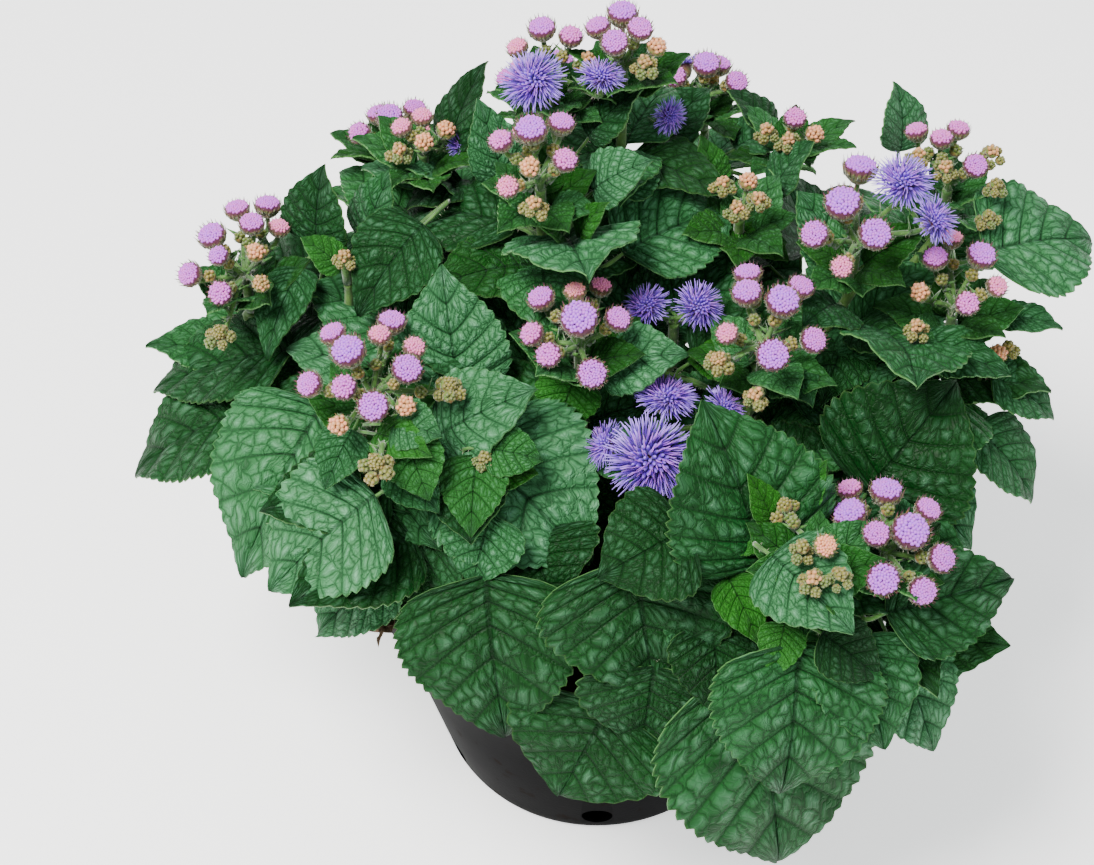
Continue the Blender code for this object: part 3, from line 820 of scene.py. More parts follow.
@functools.cache
def spike(sides: int, finish: Finish) -> bpy.types.Mesh:
    """A unit spike from z 0 to 1, the start of hairs and bracts.

    Args:
        sides: How many sides it has.
        finish: Its finish.

    Returns:
        The mesh, with the share towards its point in "tip".
    """
    shape = bmesh.new()
    bmesh.ops.create_cone(shape, cap_ends=True, segments=sides, radius1=1, radius2=0, depth=1,
                          matrix=Matrix.Translation((0, 0, 0.5)))
    mesh = mesh_of(shape, "spike", finish)
    mark(mesh, "tip", points_of(mesh)[:, 2])
    return mesh


@functools.cache
def bead(finish: Finish) -> bpy.types.Mesh:
    """A small rounded bead about the origin, the start of florets and crumbs.

    Args:
        finish: Its finish.

    Returns:
        The mesh, with the share towards its top in "tip".
    """
    shape = bmesh.new()
    bmesh.ops.create_icosphere(shape, subdivisions=1, radius=1)
    mesh = mesh_of(shape, "bead", finish)
    mark(mesh, "tip", points_of(mesh)[:, 2] * 0.5 + 0.5)
    return mesh


@dataclass(frozen=True)
class Hairs:
    """Fine hairs that stand out of a tube, on every side of it."""

    length: float = 1.1
    radius: float = 0.055
    per_mm: float = 1.3

    def on(self, route: Sequence[Vector], radius: float, draw: random.Random) -> bpy.types.Mesh:
        """Sets hairs along a route.

        Args:
            route: The tube's points, in millimetres.
            radius: The tube's radius.
            draw: The seeded source of random numbers.

        Returns:
            One mesh with all the hairs.
        """
        spans = list(zip(route, route[1:]))
        lengths = [(b - a).length for a, b in spans]
        count = max(4, int(sum(lengths) * self.per_mm))
        first_way, second_way = ring_frames(route)
        feet, ways, longs = [], [], []
        for index in draw.choices(range(len(spans)), weights=lengths, k=count):
            a, b = spans[index]
            turn = draw.uniform(0, math.tau)
            out = first_way[index] * math.cos(turn) + second_way[index] * math.sin(turn)
            foot = np.array(a.lerp(b, draw.random())) + out * radius * 0.8
            feet.append(foot)
            ways.append(out + np.array([draw.uniform(-0.4, 0.4) for _ in range(3)]))
            longs.append(self.length * draw.uniform(0.6, 1.2))
        frames = aimed(np.array(ways), self.radius, self.radius, np.array(longs))
        return copies(spike(3, HairFinish()), frames * MM, np.array(feet) * MM)


class Piece:
    """Meshes gathered into one object, which rides on the root and stands for its CAD node."""

    def __init__(self, name: str) -> None:
        """Starts an empty piece."""
        self.name = name
        self.parts: list[bpy.types.Object] = []

    def add(self, *meshes: bpy.types.Mesh) -> None:
        """Adds meshes to the piece.

        Args:
            *meshes: The meshes.
        """
        for mesh in meshes:
            obj = bpy.data.objects.new(self.name, mesh)
            bpy.context.scene.collection.objects.link(obj)
            self.parts.append(obj)

    def join(self) -> bpy.types.Object:
        """Joins the meshes into the first one's object.

        Returns:
            The object that holds them all.
        """
        whole = self.parts[0]
        if len(self.parts) > 1:
            with bpy.context.temp_override(active_object=whole, object=whole, selected_objects=self.parts,
                                           selected_editable_objects=self.parts):
                bpy.ops.object.join()
        return whole

    def finish(self, slot: str, node: str | None = None) -> bpy.types.Object:
        """Args:
            slot: The record's material slot; not used.
            node: The CAD node that the piece stands for, if it stands for one.

        Returns:
            The finished object.
        """
        whole = self.join()
        whole.name = whole.data.name = self.name
        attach(whole, "root")
        if node:
            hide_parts(node)
        faces = sum(len(face.vertices) - 2 for face in whole.data.polygons)
        log.info("%s: %d triangles", self.name, faces)
        return whole


class Grade(Enum):
    """How finely a blade is made: rows along, columns across, teeth on each side, and its least length."""

    LARGE = (60, 14, 20, 36.0)
    MIDDLE = (42, 10, 14, 29.0)
    SMALL = (27, 8, 9, 17.0)
    TINY = (21, 6, 7, 0.0)

    @classmethod
    def of(cls, length: float) -> "Grade":
        """The grade that a blade of this length takes."""
        return next(grade for grade in cls if length > grade.value[3])

    @property
    def rows(self) -> int:
        """Rows along the blade."""
        return self.value[0]

    @property
    def columns(self) -> int:
        """Columns across the blade."""
        return self.value[1]

    @property
    def teeth(self) -> int:
        """Teeth on each side."""
        return self.value[2]


@functools.cache
def blade_grid(grade: Grade) -> bpy.types.Mesh:
    """A flat closed plate, two units long and wide, whose rim edges are sharp: the start of every blade.

    Args:
        grade: How finely it is divided.

    Returns:
        The mesh, whose z is 1 on the upper face and -1 on the lower one.
    """
    shape = bmesh.new()
    bmesh.ops.create_grid(shape, x_segments=grade.rows, y_segments=grade.columns, size=1)
    bmesh.ops.solidify(shape, geom=shape.faces[:], thickness=0.1)
    bmesh.ops.recalc_face_normals(shape, faces=shape.faces)
    shape.normal_update()
    for edge in shape.edges:
        edge.smooth = edge.calc_face_angle(0.0) < 0.5
    middle = sum(v.co.z for v in shape.verts) / len(shape.verts)
    for vertex in shape.verts:
        vertex.co.z = 1.0 if vertex.co.z > middle else -1.0
    return mesh_of(shape, "blade", LeafFinish())


@dataclass(frozen=True)
class Blade:
    """A leaf's blade from its base to its tip: toothed, quilted between its veins, arched and folded."""

    base: Vector
    tip: Vector
    width: float
    age: float = 0.0
    tone: float = 0.5
    seed: float = 0.0
    thickness: float = 0.45
    tooth: float = 0.062
    arch: float = 0.12
    fold: float = 0.26
    roll: float = 0.16
    cordate: float = 0.13
    sweep: float = 2.3
    quilt: float = 0.034
    wave: float = 0.022
    lean_radius: float = 80.0
    lean_from: float = 150.0
    lean_span: float = 70.0
    lean_most: float = 1.1
    forward: float = 0.3
    forward_to: float = 45.0

    @property
    def length(self) -> float:
        """The blade's length."""
        return (self.tip - self.base).length

    def turn(self) -> np.ndarray:
        """The blade's axes as columns: along it, across it and up out of its face.

        Returns:
            A 3 by 3 matrix.
        """
        along = (self.tip - self.base).normalized()
        lean = min(max((self.lean_from - self.base.z) / self.lean_span, 0.0), self.lean_most)
        forward = self.forward if self.base.y < self.forward_to else 0.0
        up = Vector((self.base.x * lean * (1 - forward) / self.lean_radius,
                     self.base.y * lean / self.lean_radius - forward, 1.0))
        normal = (up - along * up.dot(along)).normalized()
        return np.array([along, normal.cross(along), normal]).T

    def surface(self, along: np.ndarray, across: np.ndarray, layer: "np.ndarray | float",
                teeth: int) -> np.ndarray:
        """Points of the blade in millimetres.

        Args:
            along: Share from base to tip, which is constant along each side vein.
            across: Share from the midrib, 0, to the two edges, -1 and 1.
            layer: 1 on the upper face and -1 on the lower one.
            teeth: How many teeth each edge has.

        Returns:
            One row for each point.
        """
        length, half = self.length, self.width / 2
        out = np.abs(across)
        t = 0.004 + along * 0.992
        reach = np.sin(np.pi * t ** 0.64) ** (0.70 + 0.34 * t)
        root = t ** self.sweep
        edge = t - self.cordate * np.sin(np.pi * t) * (1 - t) ** 2
        step = (along * teeth) % 1.0
        saw = step ** 0.8 * (1 - step ** 5) * 1.5 - 0.5
        tooth = self.tooth * saw * np.sin(np.pi * t) ** 0.35 * out ** 9
        x = (root + (edge - root) * out ** 1.25 + tooth * 0.2) * length
        y = across * half * reach * (1 + tooth)
        x_share = np.clip(x / length, 0, 1)
        panel = np.abs(np.sin(np.pi * along * LeafFinish.veins)) ** 0.6
        panels = np.floor(along * LeafFinish.veins)
        cell = 0.70 + 0.30 * np.abs(np.sin(np.pi * (out * 2.6 + panels * 0.37 + self.seed)))
        shoulder = np.clip(out / 0.14, 0, 1) * (1 - 0.5 * out)
        quilt = self.quilt * length * panel * cell * shoulder
        phase = math.tau * 2.2 * along + self.seed * 5 + np.sign(across) * 1.3
        wave = self.wave * length * out ** 2 * np.sin(phase)
        width = np.abs(y)
        z = self.arch * 4 * x_share * (1 - x_share) * length
        z = z + self.fold * width - self.roll * width ** 2 / half
        z += quilt + wave + layer * self.thickness / 2
        return np.stack([x, y, z], axis=-1) @ self.turn().T + np.array(self.base)

    def mesh(self, finish: Finish | None = None) -> bpy.types.Mesh:
        """The blade as a closed mesh in metres, with its shares stored for the finish.

        Args:
            finish: Another finish than the leaf's own.

        Returns:
            The mesh.
        """
        grade = Grade.of(self.length)
        made = blade_grid(grade).copy()
        plate = points_of(made)
        along, across = (plate[:, 0] + 1) / 2, plate[:, 1]
        move_points(made, self.surface(along, across, plate[:, 2], grade.teeth) * MM)
        mark(made, "along", along)
        mark(made, "across", across)
        mark(made, "below", (1 - plate[:, 2]) / 2)
        mark(made, "age", self.age)
        mark(made, "tone", self.tone)
        if finish:
            made.materials[0] = finish.material()
        return made

    def midrib(self, shares: Sequence[float]) -> list[Vector]:
        """Points just under the midrib.

        Args:
            shares: How far along the midrib each point is.

        Returns:
            The points, in millimetres.
        """
        along = np.array(shares) ** (1 / self.sweep)
        rows = self.surface(along, np.zeros(len(shares)), -1.0, 1)
        return [Vector(row) for row in rows]


@dataclass(frozen=True)
class Leaf:
    """A leaf: the stem it grows on, its blade from base to tip, how young it is, and its tone if set, which
    paints shade on it when low and a sheen highlight when high.
    """

    stem: str
    base: Place
    tip: Place
    width: float
    age: float = 0.0
    petiole_radius: float = 1.05
    petiole_drop: float = 9.0
    tone: float | None = None

    def meshes(self, stem: "Shoot", draw: random.Random) -> list[bpy.types.Mesh]:
        """The blade with its petiole, the rib under it and its hairs.

        Args:
            stem: The stem that the leaf grows on.
            draw: The seeded source of random numbers.

        Returns:
            The meshes.
        """
        # Leaves that don't set a tone take a random one; a set tone paints shade on a leaf in shadow when
        # low, and a sheen highlight on a lit leaf when high.
        tone = draw.random()
        tone = tone if self.tone is None else self.tone
        blade = Blade(Vector(self.base), Vector(self.tip), self.width, self.age, tone, draw.random(),
                      arch=draw.uniform(0.05, 0.11), wave=draw.uniform(0.012, 0.032))
        radius = self.petiole_radius * min(1.0, 0.45 + blade.length / 70)
        start = stem.at_height(self.base[2] - self.petiole_drop)
        rib = blade.midrib((0.02, 0.12, 0.3, 0.5, 0.72, 0.9))
        ahead = (rib[1] - rib[0]).normalized()
        reach = (rib[0] - start).length
        knee = rib[0] - ahead * reach * 0.35 - Vector((0, 0, reach * 0.04))
        stalk = curve_through([start, start.lerp(knee, 0.55) + Vector((0, 0, reach * 0.05)), knee, rib[0]], 3)
        whole = [*stalk, *rib[1:]]
        petiole = tube(whole, radius, 0.16, 5, StemFinish(), 0.3 * draw.random())
        return [blade.mesh(), petiole, Hairs(length=0.9).on(stalk, radius * 0.9, draw)]


@dataclass(frozen=True)
class Shoot:
    """A stem from the soil, or a side shoot from another stem, up to the seat of its flower cluster."""

    seat: Vector
    parent: "Shoot | None" = None
    radius: float = 1.7
    tip_radius: float = 1.1
    branch_radius: float = 1.3
    spread: float = 0.42
    soil_top: float = 73.0
    depth: float = 13.7

    def corners(self) -> list[Vector]:
        """The points that the stem passes through.

        Returns:
            The points, from the foot up, in millimetres.
        """
        end = self.seat - Vector((0, 0, 0.3))
        if self.parent:
            low = self.parent.corners()[1].z
            start = self.parent.at_height(low + 0.45 * (min(end.z, self.parent.seat.z) - low))
            middle = start.lerp(end, 0.55) - Vector((0, 0, 0.12 * (end - start).length))
            return [start, middle, end - Vector((0, 0, 4)), end]
        x, y, z = self.seat
        foot = Vector((x * self.spread, y * self.spread, self.soil_top - self.depth))
        neck = Vector((foot.x, foot.y, self.soil_top + 3))
        knee = Vector((x * 0.78, y * 0.78, self.soil_top + 0.55 * (z - self.soil_top)))
        bend = (neck + knee) / 2 + Vector((x, y, 0)) * 0.02
        return [foot, neck, bend, knee, end - Vector((0, 0, 4)), end]

    def at_height(self, z: float) -> Vector:
        """The point of the stem at a height, kept clear of its two ends.

        Args:
            z: The height.

        Returns:
            The point.
        """
        points = self.corners()
        low = points[0].z if self.parent else points[1].z
        z = min(max(z, low + 4), points[-1].z - 4)
        for a, b in zip(points, points[1:]):
            if a.z <= z <= b.z:
                return a.lerp(b, (z - a.z) / (b.z - a.z))
        return points[-2]

    def meshes(self, draw: random.Random) -> list[bpy.types.Mesh]:
        """The stem and its hairs.

        Args:
            draw: The seeded source of random numbers.

        Returns:
            The meshes.
        """
        route = curve_through(self.corners(), 5)
        radius = self.branch_radius if self.parent else self.radius
        return [tube(route, radius, self.tip_radius, 10, StemFinish(), 0.6), Hairs().on(route, radius, draw)]


def spread(draw: random.Random, count: int, low: float, high: float) -> np.ndarray:
    """Random numbers between two bounds."""
    return np.array([draw.uniform(low, high) for _ in range(count)])


def disc_spots(count: int, draw: random.Random) -> tuple[np.ndarray, np.ndarray]:
    """Spots that cover a unit disc evenly, as florets do, each strayed by a little.

    Args:
        count: How many spots.
        draw: The seeded source of random numbers.

    Returns:
        Each spot's distance from the middle and its angle.
    """
    index = np.arange(count)
    radius = np.sqrt((index + 0.5) / count) + spread(draw, count, -STRAY, STRAY)
    return np.clip(radius, 0.02, 1.0), index * GOLDEN


def around(angle: np.ndarray) -> np.ndarray:
    """Unit directions in the level plane."""
    return np.stack([np.cos(angle), np.sin(angle), np.zeros_like(angle)], axis=-1)


def merged(meshes: Sequence[bpy.types.Mesh]) -> bpy.types.Mesh:
    """Joins meshes into one, which is shared by every head of its kind.

    Args:
        meshes: The meshes.

    Returns:
        The joined mesh.
    """
    piece = Piece("template")
    piece.add(*meshes)
    whole = piece.join()
    mesh = whole.data
    bpy.data.objects.remove(whole, do_unlink=True)
    return mesh


UP = np.array([0.0, 0.0, 1.0])


class HeadKind(Enum):
    """How a closed head is made: its florets, bracts, hairs and dome, and the least width of its kind."""

    RIPE = (76, 40, 60, 0.14, 6.0)
    HALF = (46, 34, 60, 0.20, 4.9)
    YOUNG = (19, 18, 44, 0.50, 3.6)
    TINY = (9, 10, 16, 0.55, 0.0)

    @classmethod
    def of(cls, width: float) -> "HeadKind":
        """The kind that a head of this width is."""
        return next(kind for kind in cls if width > kind.value[4])

    def template(self, seed: int) -> bpy.types.Mesh:
        """The kind's head at unit size."""
        return ClosedHead(*self.value[:4], seed=seed).template()


@dataclass(frozen=True)
class ClosedHead:
    """A closed head of unit radius that faces +Z: a hairy cup, plum-tipped bracts and a disc of florets."""

    florets: int
    bracts: int
    hairs: int
    dome: float
    seed: int
    disc_reach: float = 0.78
    floret_size: float = 1.1256
    cup: tuple = ((0.16, -1.25), (0.50, -1.12), (0.80, -0.78), (0.90, -0.42), (0.86, -0.12), (0.55, -0.06))

    def floret_mesh(self, draw: random.Random) -> bpy.types.Mesh:
        """The florets, packed as beads over the disc.

        Args:
            draw: The seeded source of random numbers.

        Returns:
            One mesh with all the florets.
        """
        radius, angle = disc_spots(self.florets, draw)
        out = around(angle)
        rise = self.dome * (1 - radius ** 2) - 0.10
        feet = out * (radius * self.disc_reach)[:, None] + UP * rise[:, None]
        size = self.floret_size * math.sqrt(math.pi / self.florets) / 2
        frames = aimed(UP + out * (radius * 0.45)[:, None], size, size, size * 1.15)
        mesh = copies(bead(FloretFinish()), frames, feet)
        tones = spread(draw, self.florets, 0, 1)
        mark(mesh, "tone", np.repeat(tones, len(mesh.vertices) // self.florets))
        return mesh

    def bract_mesh(self, draw: random.Random) -> bpy.types.Mesh:
        """Two rows of narrow pointed bracts round the disc.

        Args:
            draw: The seeded source of random numbers.

        Returns:
            One mesh with all the bracts.
        """
        index = np.arange(self.bracts)
        angle = index * math.tau / self.bracts * 2.02 + spread(draw, self.bracts, -0.05, 0.05)
        out = around(angle)
        outer = (index % 2)[:, None]
        foot = out * (0.80 + 0.05 * outer) - UP * 0.66
        tip = out * (1.01 + 0.06 * outer) + UP * spread(draw, self.bracts, 0.0, 0.20)[:, None]
        way = tip - foot
        frames = aimed(way, 0.085, 0.05, np.linalg.norm(way, axis=-1), out)
        return copies(spike(4, BractFinish()), frames, foot)

    def hair_mesh(self, draw: random.Random) -> bpy.types.Mesh:
        """Short hairs on the cup.

        Args:
            draw: The seeded source of random numbers.

        Returns:
            One mesh with all the hairs.
        """
        angle = spread(draw, self.hairs, 0, math.tau)
        height = spread(draw, self.hairs, -1.0, -0.15)
        out = around(angle)
        feet = out * np.interp(height, (-1.25, -0.78, -0.1), (0.2, 0.8, 0.86))[:, None] + UP * height[:, None]
        long = spread(draw, self.hairs, 0.16, 0.32)
        return copies(spike(3, HairFinish()), aimed(out + UP * 0.35, 0.016, 0.016, long), feet)

    @functools.cache
    def template(self) -> bpy.types.Mesh:
        """The whole head at unit size.

        Returns:
            The mesh, which is made once.
        """
        draw = random.Random(self.seed)
        cup = turned(self.cup, 14, BractFinish())
        return merged([cup, self.floret_mesh(draw), self.bract_mesh(draw), self.hair_mesh(draw)])


@dataclass(frozen=True)
class OpenBloom:
    """An open bloom of unit radius that faces +Z: curled violet threads over a hairy cup."""

    threads: int
    seed: int
    rings: int = 5
    core_florets: int = 37
    reach: float = 1.22
    curl: float = 5.5
    sway: float = 1.8
    cup: tuple = ((0.08, -0.80), (0.24, -0.74), (0.36, -0.52), (0.40, -0.26), (0.30, -0.16))

    def thread_mesh(self, draw: random.Random) -> bpy.types.Mesh:
        """Threads that stand out on all sides, each a little curled, and shorter in the middle.

        Args:
            draw: The seeded source of random numbers.

        Returns:
            One mesh with all the threads.
        """
        index = np.arange(self.threads)
        lean = np.arccos(1 - (index + 0.5) / self.threads * self.reach)
        out = around(index * GOLDEN)
        way = UP * np.cos(lean)[:, None] + out * np.sin(lean)[:, None]
        way = unit(way + spread(draw, self.threads * 3, -0.22, 0.22).reshape(-1, 3))
        feet = out * (0.30 * np.sin(np.minimum(lean, 1.57)))[:, None] - UP * 0.22
        shorter = 0.56 + 0.44 * np.sin(np.minimum(lean, 1.57))
        long = spread(draw, self.threads, 0.50, 0.78) * shorter
        thread = cylinder(self.rings, 3).copy()
        points = points_of(thread)
        share = points[:, 2]
        width = np.interp(share, (0, 0.5, 0.85, 1), (0.9, 0.75, 1.0, 0.35))
        points[:, :2] *= width[:, None]
        points[:, 0] += self.curl * share ** 2
        points[:, 1] += self.sway * np.sin(share * 5.0)
        move_points(thread, points)
        thread.materials.append(ThreadFinish().material())
        mark(thread, "tip", share)
        made = copies(thread, aimed(way, 0.022, 0.022, long, np.cross(way, out) + 0.3 * out), feet)
        each = len(made.vertices) // self.threads
        mark(made, "tone", np.repeat(spread(draw, self.threads, 0, 1), each))
        mark(made, "inner", np.repeat(np.cos(lean), each))
        return made

    def core_mesh(self, draw: random.Random) -> bpy.types.Mesh:
        """The florets' tubes, crowded on a dome under the threads.

        Args:
            draw: The seeded source of random numbers.

        Returns:
            One mesh with all the tubes.
        """
        radius, angle = disc_spots(self.core_florets, draw)
        out = around(angle)
        feet = out * (radius * 0.36)[:, None] + UP * (0.10 * (1 - radius ** 2) - 0.12)[:, None]
        frames = aimed(UP + out * radius[:, None], 0.055, 0.055, 0.16)
        return copies(bead(ThreadFinish()), frames, feet)

    @functools.cache
    def template(self) -> bpy.types.Mesh:
        """The whole bloom at unit size."""
        draw = random.Random(self.seed)
        return merged([turned(self.cup, 12, BractFinish()), self.core_mesh(draw), self.thread_mesh(draw)])


@dataclass(frozen=True)
class Head:
    """A closed head's place, its width, and how ripe it is, from 0, green, to 1, about to open."""

    x: float
    y: float
    z: float
    width: float
    ripe: float | None = None

    def ripeness(self) -> float:
        """The stated ripeness, or else the one that its width suggests.

        Returns:
            The ripeness, from 0 to 1.
        """
        if self.ripe is not None:
            return self.ripe
        return float(np.interp(self.width, (3.8, 4.6, 5.4, 6.2, 8.0), (0.05, 0.30, 0.62, 0.80, 0.92)))


@dataclass(frozen=True)
class Bloom:
    """An open bloom's place, its width and the way it faces."""

    x: float
    y: float
    z: float
    width: float
    facing: Place


@dataclass(frozen=True)
class FlowerCluster:
    """A forked hairy stalk on its seat, with closed heads and open blooms."""

    seat: Place
    heads: tuple[Head, ...] = ()
    blooms: tuple[Bloom, ...] = ()
    fork_rise: float = 8.0
    stalk_radius: float = 0.62
    knot_heads: int = 5
    knot_ripeness: float = 0.22
    knot_width: float = 5.0
    stalk_leaflets: int = 5
    filler_from: float = 4.9
    neck_radius: float = 1.2
    fork_radius: float = 1.35
    head_swell: float = 1.06
    wide_bloom: float = 14.0
    wide_threads: int = 300
    narrow_threads: int = 170

    def stalk(self, fork: Vector, end: Vector, facing: Vector, draw: random.Random) -> list[bpy.types.Mesh]:
        """A thin stalk from the fork to the foot of a head, with its hairs.

        Args:
            fork: Where the stalks fork.
            end: The foot of the head.
            facing: The way the head faces.
            draw: The seeded source of random numbers.

        Returns:
            The meshes.
        """
        reach = (end - fork).length
        near = fork + Vector((0, 0, 1)) * reach * 0.22 + (end - fork) * 0.18
        route = curve_through([fork, near, end - facing * reach * 0.22, end], 3)
        return [tube(route, self.stalk_radius * 1.15, self.stalk_radius, 6, StemFinish(), 0.35),
                self.leaflets(fork, end, draw),
                Hairs(length=1.2, per_mm=3.0).on(route, self.stalk_radius, draw)]

    def knot(self, head: Head, draw: random.Random) -> list[Head]:
        """A young head as the tight knot of tiny heads that it is, and a ripe head as itself.

        Args:
            head: The head.
            draw: The seeded source of random numbers.

        Returns:
            The heads of the knot.
        """
        if head.ripeness() > self.knot_ripeness:
            return [head]
        size = min(head.width, self.knot_width)
        start = draw.uniform(0, math.tau)
        found = [Head(head.x, head.y, head.z + 0.5, size * 0.8, head.ripeness() + 0.1)]
        for i in range(self.knot_heads):
            angle = start + math.tau * i / self.knot_heads
            reach = size * draw.uniform(0.46, 0.58)
            found.append(Head(head.x + reach * math.cos(angle), head.y + reach * math.sin(angle),
                              head.z - draw.uniform(0.6, 2.0), size * draw.uniform(0.5, 0.7),
                              draw.uniform(0.0, 0.2)))
        return found

    def filler(self, head: Head, draw: random.Random) -> list[Head]:
        """A late bud beside the stalk of a ripe head, which fills the cluster between its heads.

        Args:
            head: The ripe head.
            draw: The seeded source of random numbers.

        Returns:
            The bud, or nothing for a young head.
        """
        if head.width < self.filler_from or len(self.heads) < 4:
            return []
        fork = Vector(self.seat) + Vector((0, 0, self.fork_rise))
        spot = fork.lerp(Vector((head.x, head.y, head.z)), draw.uniform(0.55, 0.68))
        return [Head(spot.x + draw.uniform(-0.5, 0.5), spot.y + draw.uniform(-0.5, 0.5), spot.z + 0.8,
                     draw.uniform(2.8, 3.4), draw.uniform(0.0, 0.25))]

    def leaflets(self, fork: Vector, end: Vector, draw: random.Random) -> bpy.types.Mesh:
        """Narrow green bracts where the stalk forks.

        Args:
            fork: Where the stalks fork.
            end: The foot of the head.
            draw: The seeded source of random numbers.

        Returns:
            One mesh with all the bracts.
        """
        count = self.stalk_leaflets
        along = spread(draw, count, 0.25, 0.8)[:, None]
        feet = np.array(fork) * (1 - along) + np.array(end) * along
        ways = around(spread(draw, count, 0, math.tau)) + UP * 0.9
        longs = spread(draw, count, 3.0, 5.0)
        return copies(spike(4, StemFinish()), aimed(ways, 0.75, 0.25, longs) * MM, feet * MM)

    def flower(self, template: bpy.types.Mesh, centre: Vector, radius: float, facing: Vector, ripe: float,
               draw: random.Random) -> bpy.types.Mesh:
        """A copy of a head or bloom at its place.

        Args:
            template: The head or bloom at unit size.
            centre: The middle of its disc.
            radius: Its radius.
            facing: The way it faces.
            ripe: How ripe it is.
            draw: The seeded source of random numbers.

        Returns:
            The mesh, in metres.
        """
        made = template.copy()
        spin = Matrix.Rotation(draw.uniform(0, math.tau), 3, "Z")
        turn = np.array(facing.to_track_quat("Z", "Y").to_matrix() @ spin)
        move_points(made, (points_of(made) @ turn.T * radius + np.array(centre)) * MM)
        mark(made, "ripe", ripe)
        return made

    def meshes(self, draw: random.Random) -> Iterator[bpy.types.Mesh]:
        """Every mesh of the cluster.

        Args:
            draw: The seeded source of random numbers.

        Yields:
            Each mesh.
        """
        seat = Vector(self.seat)
        fork = seat + Vector((0, 0, self.fork_rise))
        neck = [seat, seat.lerp(fork, 0.5), fork, fork + Vector((0, 0, 0.8))]
        yield tube(neck, self.neck_radius, self.fork_radius, 8, StemFinish(), 0.3)
        yield Hairs(per_mm=3.0).on([seat, fork], self.neck_radius, draw)
        every = [one for whole in self.heads for one in self.knot(whole, draw) + self.filler(whole, draw)]
        for head in every:
            centre = Vector((head.x, head.y, head.z))
            facing = ((centre - fork).normalized() * 0.7 + Vector((0, -0.45, 0.75))).normalized()
            kind = HeadKind.of(head.width)
            template = kind.template(draw.choice((1, 2)))
            radius = head.width / 2 * self.head_swell
            yield self.flower(template, centre, radius, facing, head.ripeness(), draw)
            if kind is not HeadKind.TINY:
                yield from self.stalk(fork, centre - facing * radius * 1.2, facing, draw)
        for bloom in self.blooms:
            centre = Vector((bloom.x, bloom.y, bloom.z))
            facing = Vector(bloom.facing).normalized()
            radius = bloom.width / 2
            threads = self.wide_threads if bloom.width > self.wide_bloom else self.narrow_threads
            template = OpenBloom(threads, draw.choice((1, 2))).template()
            yield self.flower(template, centre, radius, facing, 1.0, draw)
            yield from self.stalk(fork, centre - facing * radius * 0.75, facing, draw)


@dataclass(frozen=True)
class Pot:
    """The round moulded pot, with a collar at the rim and drain holes above its base."""

    rim_radius: float = 60.0
    height: float = 82.0
    collar_drop: float = 11.0
    collar_in: float = 3.5
    wall: float = 1.6
    base_radius: float = 41.0
    base_thickness: float = 2.4
    drain_radius: float = 4.0
    drains: int = 6
    drain_height: float = 8.0
    steps: int = 112
    sharp_from: float = 32.0

    def wall_radius(self, z: float) -> float:
        """The outer radius of the wall at a height."""
        under = self.height - self.collar_drop
        return self.base_radius + (self.rim_radius - self.collar_in - self.base_radius) * z / under

    def profile(self) -> list[tuple[float, float]]:
        """Radius and height of the turned outline, from the middle of the floor round to the base.

        Returns:
            The rings' radii and heights, in millimetres.
        """
        under, lip, out = self.height - self.collar_drop, self.rim_radius - self.wall, self.rim_radius
        outside, base = self.wall_radius(under), self.base_radius
        inside = outside - self.wall
        bead_top = [(out - 0.1 + 0.5 * math.cos(a), self.height - 1.6 + 1.6 * math.sin(a))
                    for a in np.linspace(2.2, -0.9, 7)]
        return [
            (0, self.base_thickness), (base - self.wall - 2, self.base_thickness),
            (base - self.wall - 0.6, self.base_thickness + 1.4), (inside, under - 2),
            (inside + 0.4, under + 0.5), (lip - 0.8, under + 2), (lip - 0.2, self.height - 3), *bead_top,
            (out - 0.5, self.height - 4.2), (out - 0.7, under + 1.4), (out - 1.0, under + 0.3),
            (out - 1.8, under), (outside + 0.4, under - 0.1), (outside, under - 0.8),
            (self.wall_radius(under * 0.5), under * 0.5), (base + 0.6, 3.2), (base, 1.6),
            (base - 0.5, 0.5), (base - 1.6, 0), (0, 0),
        ]

    def body(self) -> bpy.types.Object:
        """The turned wall and floor, before the drain holes are cut.

        Returns:
            The object.
        """
        shape = bmesh.new()
        ring = [shape.verts.new((r * MM, 0, z * MM)) for r, z in self.profile()]
        edges = [shape.edges.new(pair) for pair in zip(ring, ring[1:])]
        bmesh.ops.spin(shape, geom=ring + edges, axis=(0, 0, 1), cent=(0, 0, 0), angle=math.tau,
                       steps=self.steps, use_merge=True)
        bmesh.ops.remove_doubles(shape, verts=shape.verts, dist=1e-6)
        bmesh.ops.recalc_face_normals(shape, faces=shape.faces)
        obj = bpy.data.objects.new("pot", mesh_of(shape, "pot", PotFinish()))
        bpy.context.scene.collection.objects.link(obj)
        return obj

    def mesh(self) -> bpy.types.Mesh:
        """The pot with its drain holes.

        Returns:
            The mesh.
        """
        shape = bmesh.new()
        for i in range(self.drains):
            angle = math.tau * (i + 0.5) / self.drains
            way = Vector((math.cos(angle), math.sin(angle), 0))
            turn = way.to_track_quat("Z", "Y").to_matrix().to_4x4()
            centre = (way * (self.base_radius - 3) + Vector((0, 0, self.drain_height))) * MM
            bmesh.ops.create_cone(shape, cap_ends=True, segments=32, radius1=self.drain_radius * MM,
                                  radius2=self.drain_radius * MM, depth=16 * MM,
                                  matrix=Matrix.Translation(centre) @ turn)
        cutter = bpy.data.objects.new("drains", mesh_of(shape, "drains", PotFinish()))
        bpy.context.scene.collection.objects.link(cutter)
        body = self.body()
        cut = body.modifiers.new("Drains", "BOOLEAN")
        cut.operation = "DIFFERENCE"
        cut.object = cutter
        made = evaluated(body)
        for obj in (body, cutter):
            bpy.data.objects.remove(obj, do_unlink=True)
        made.set_sharp_from_angle(angle=math.radians(self.sharp_from))
        return made


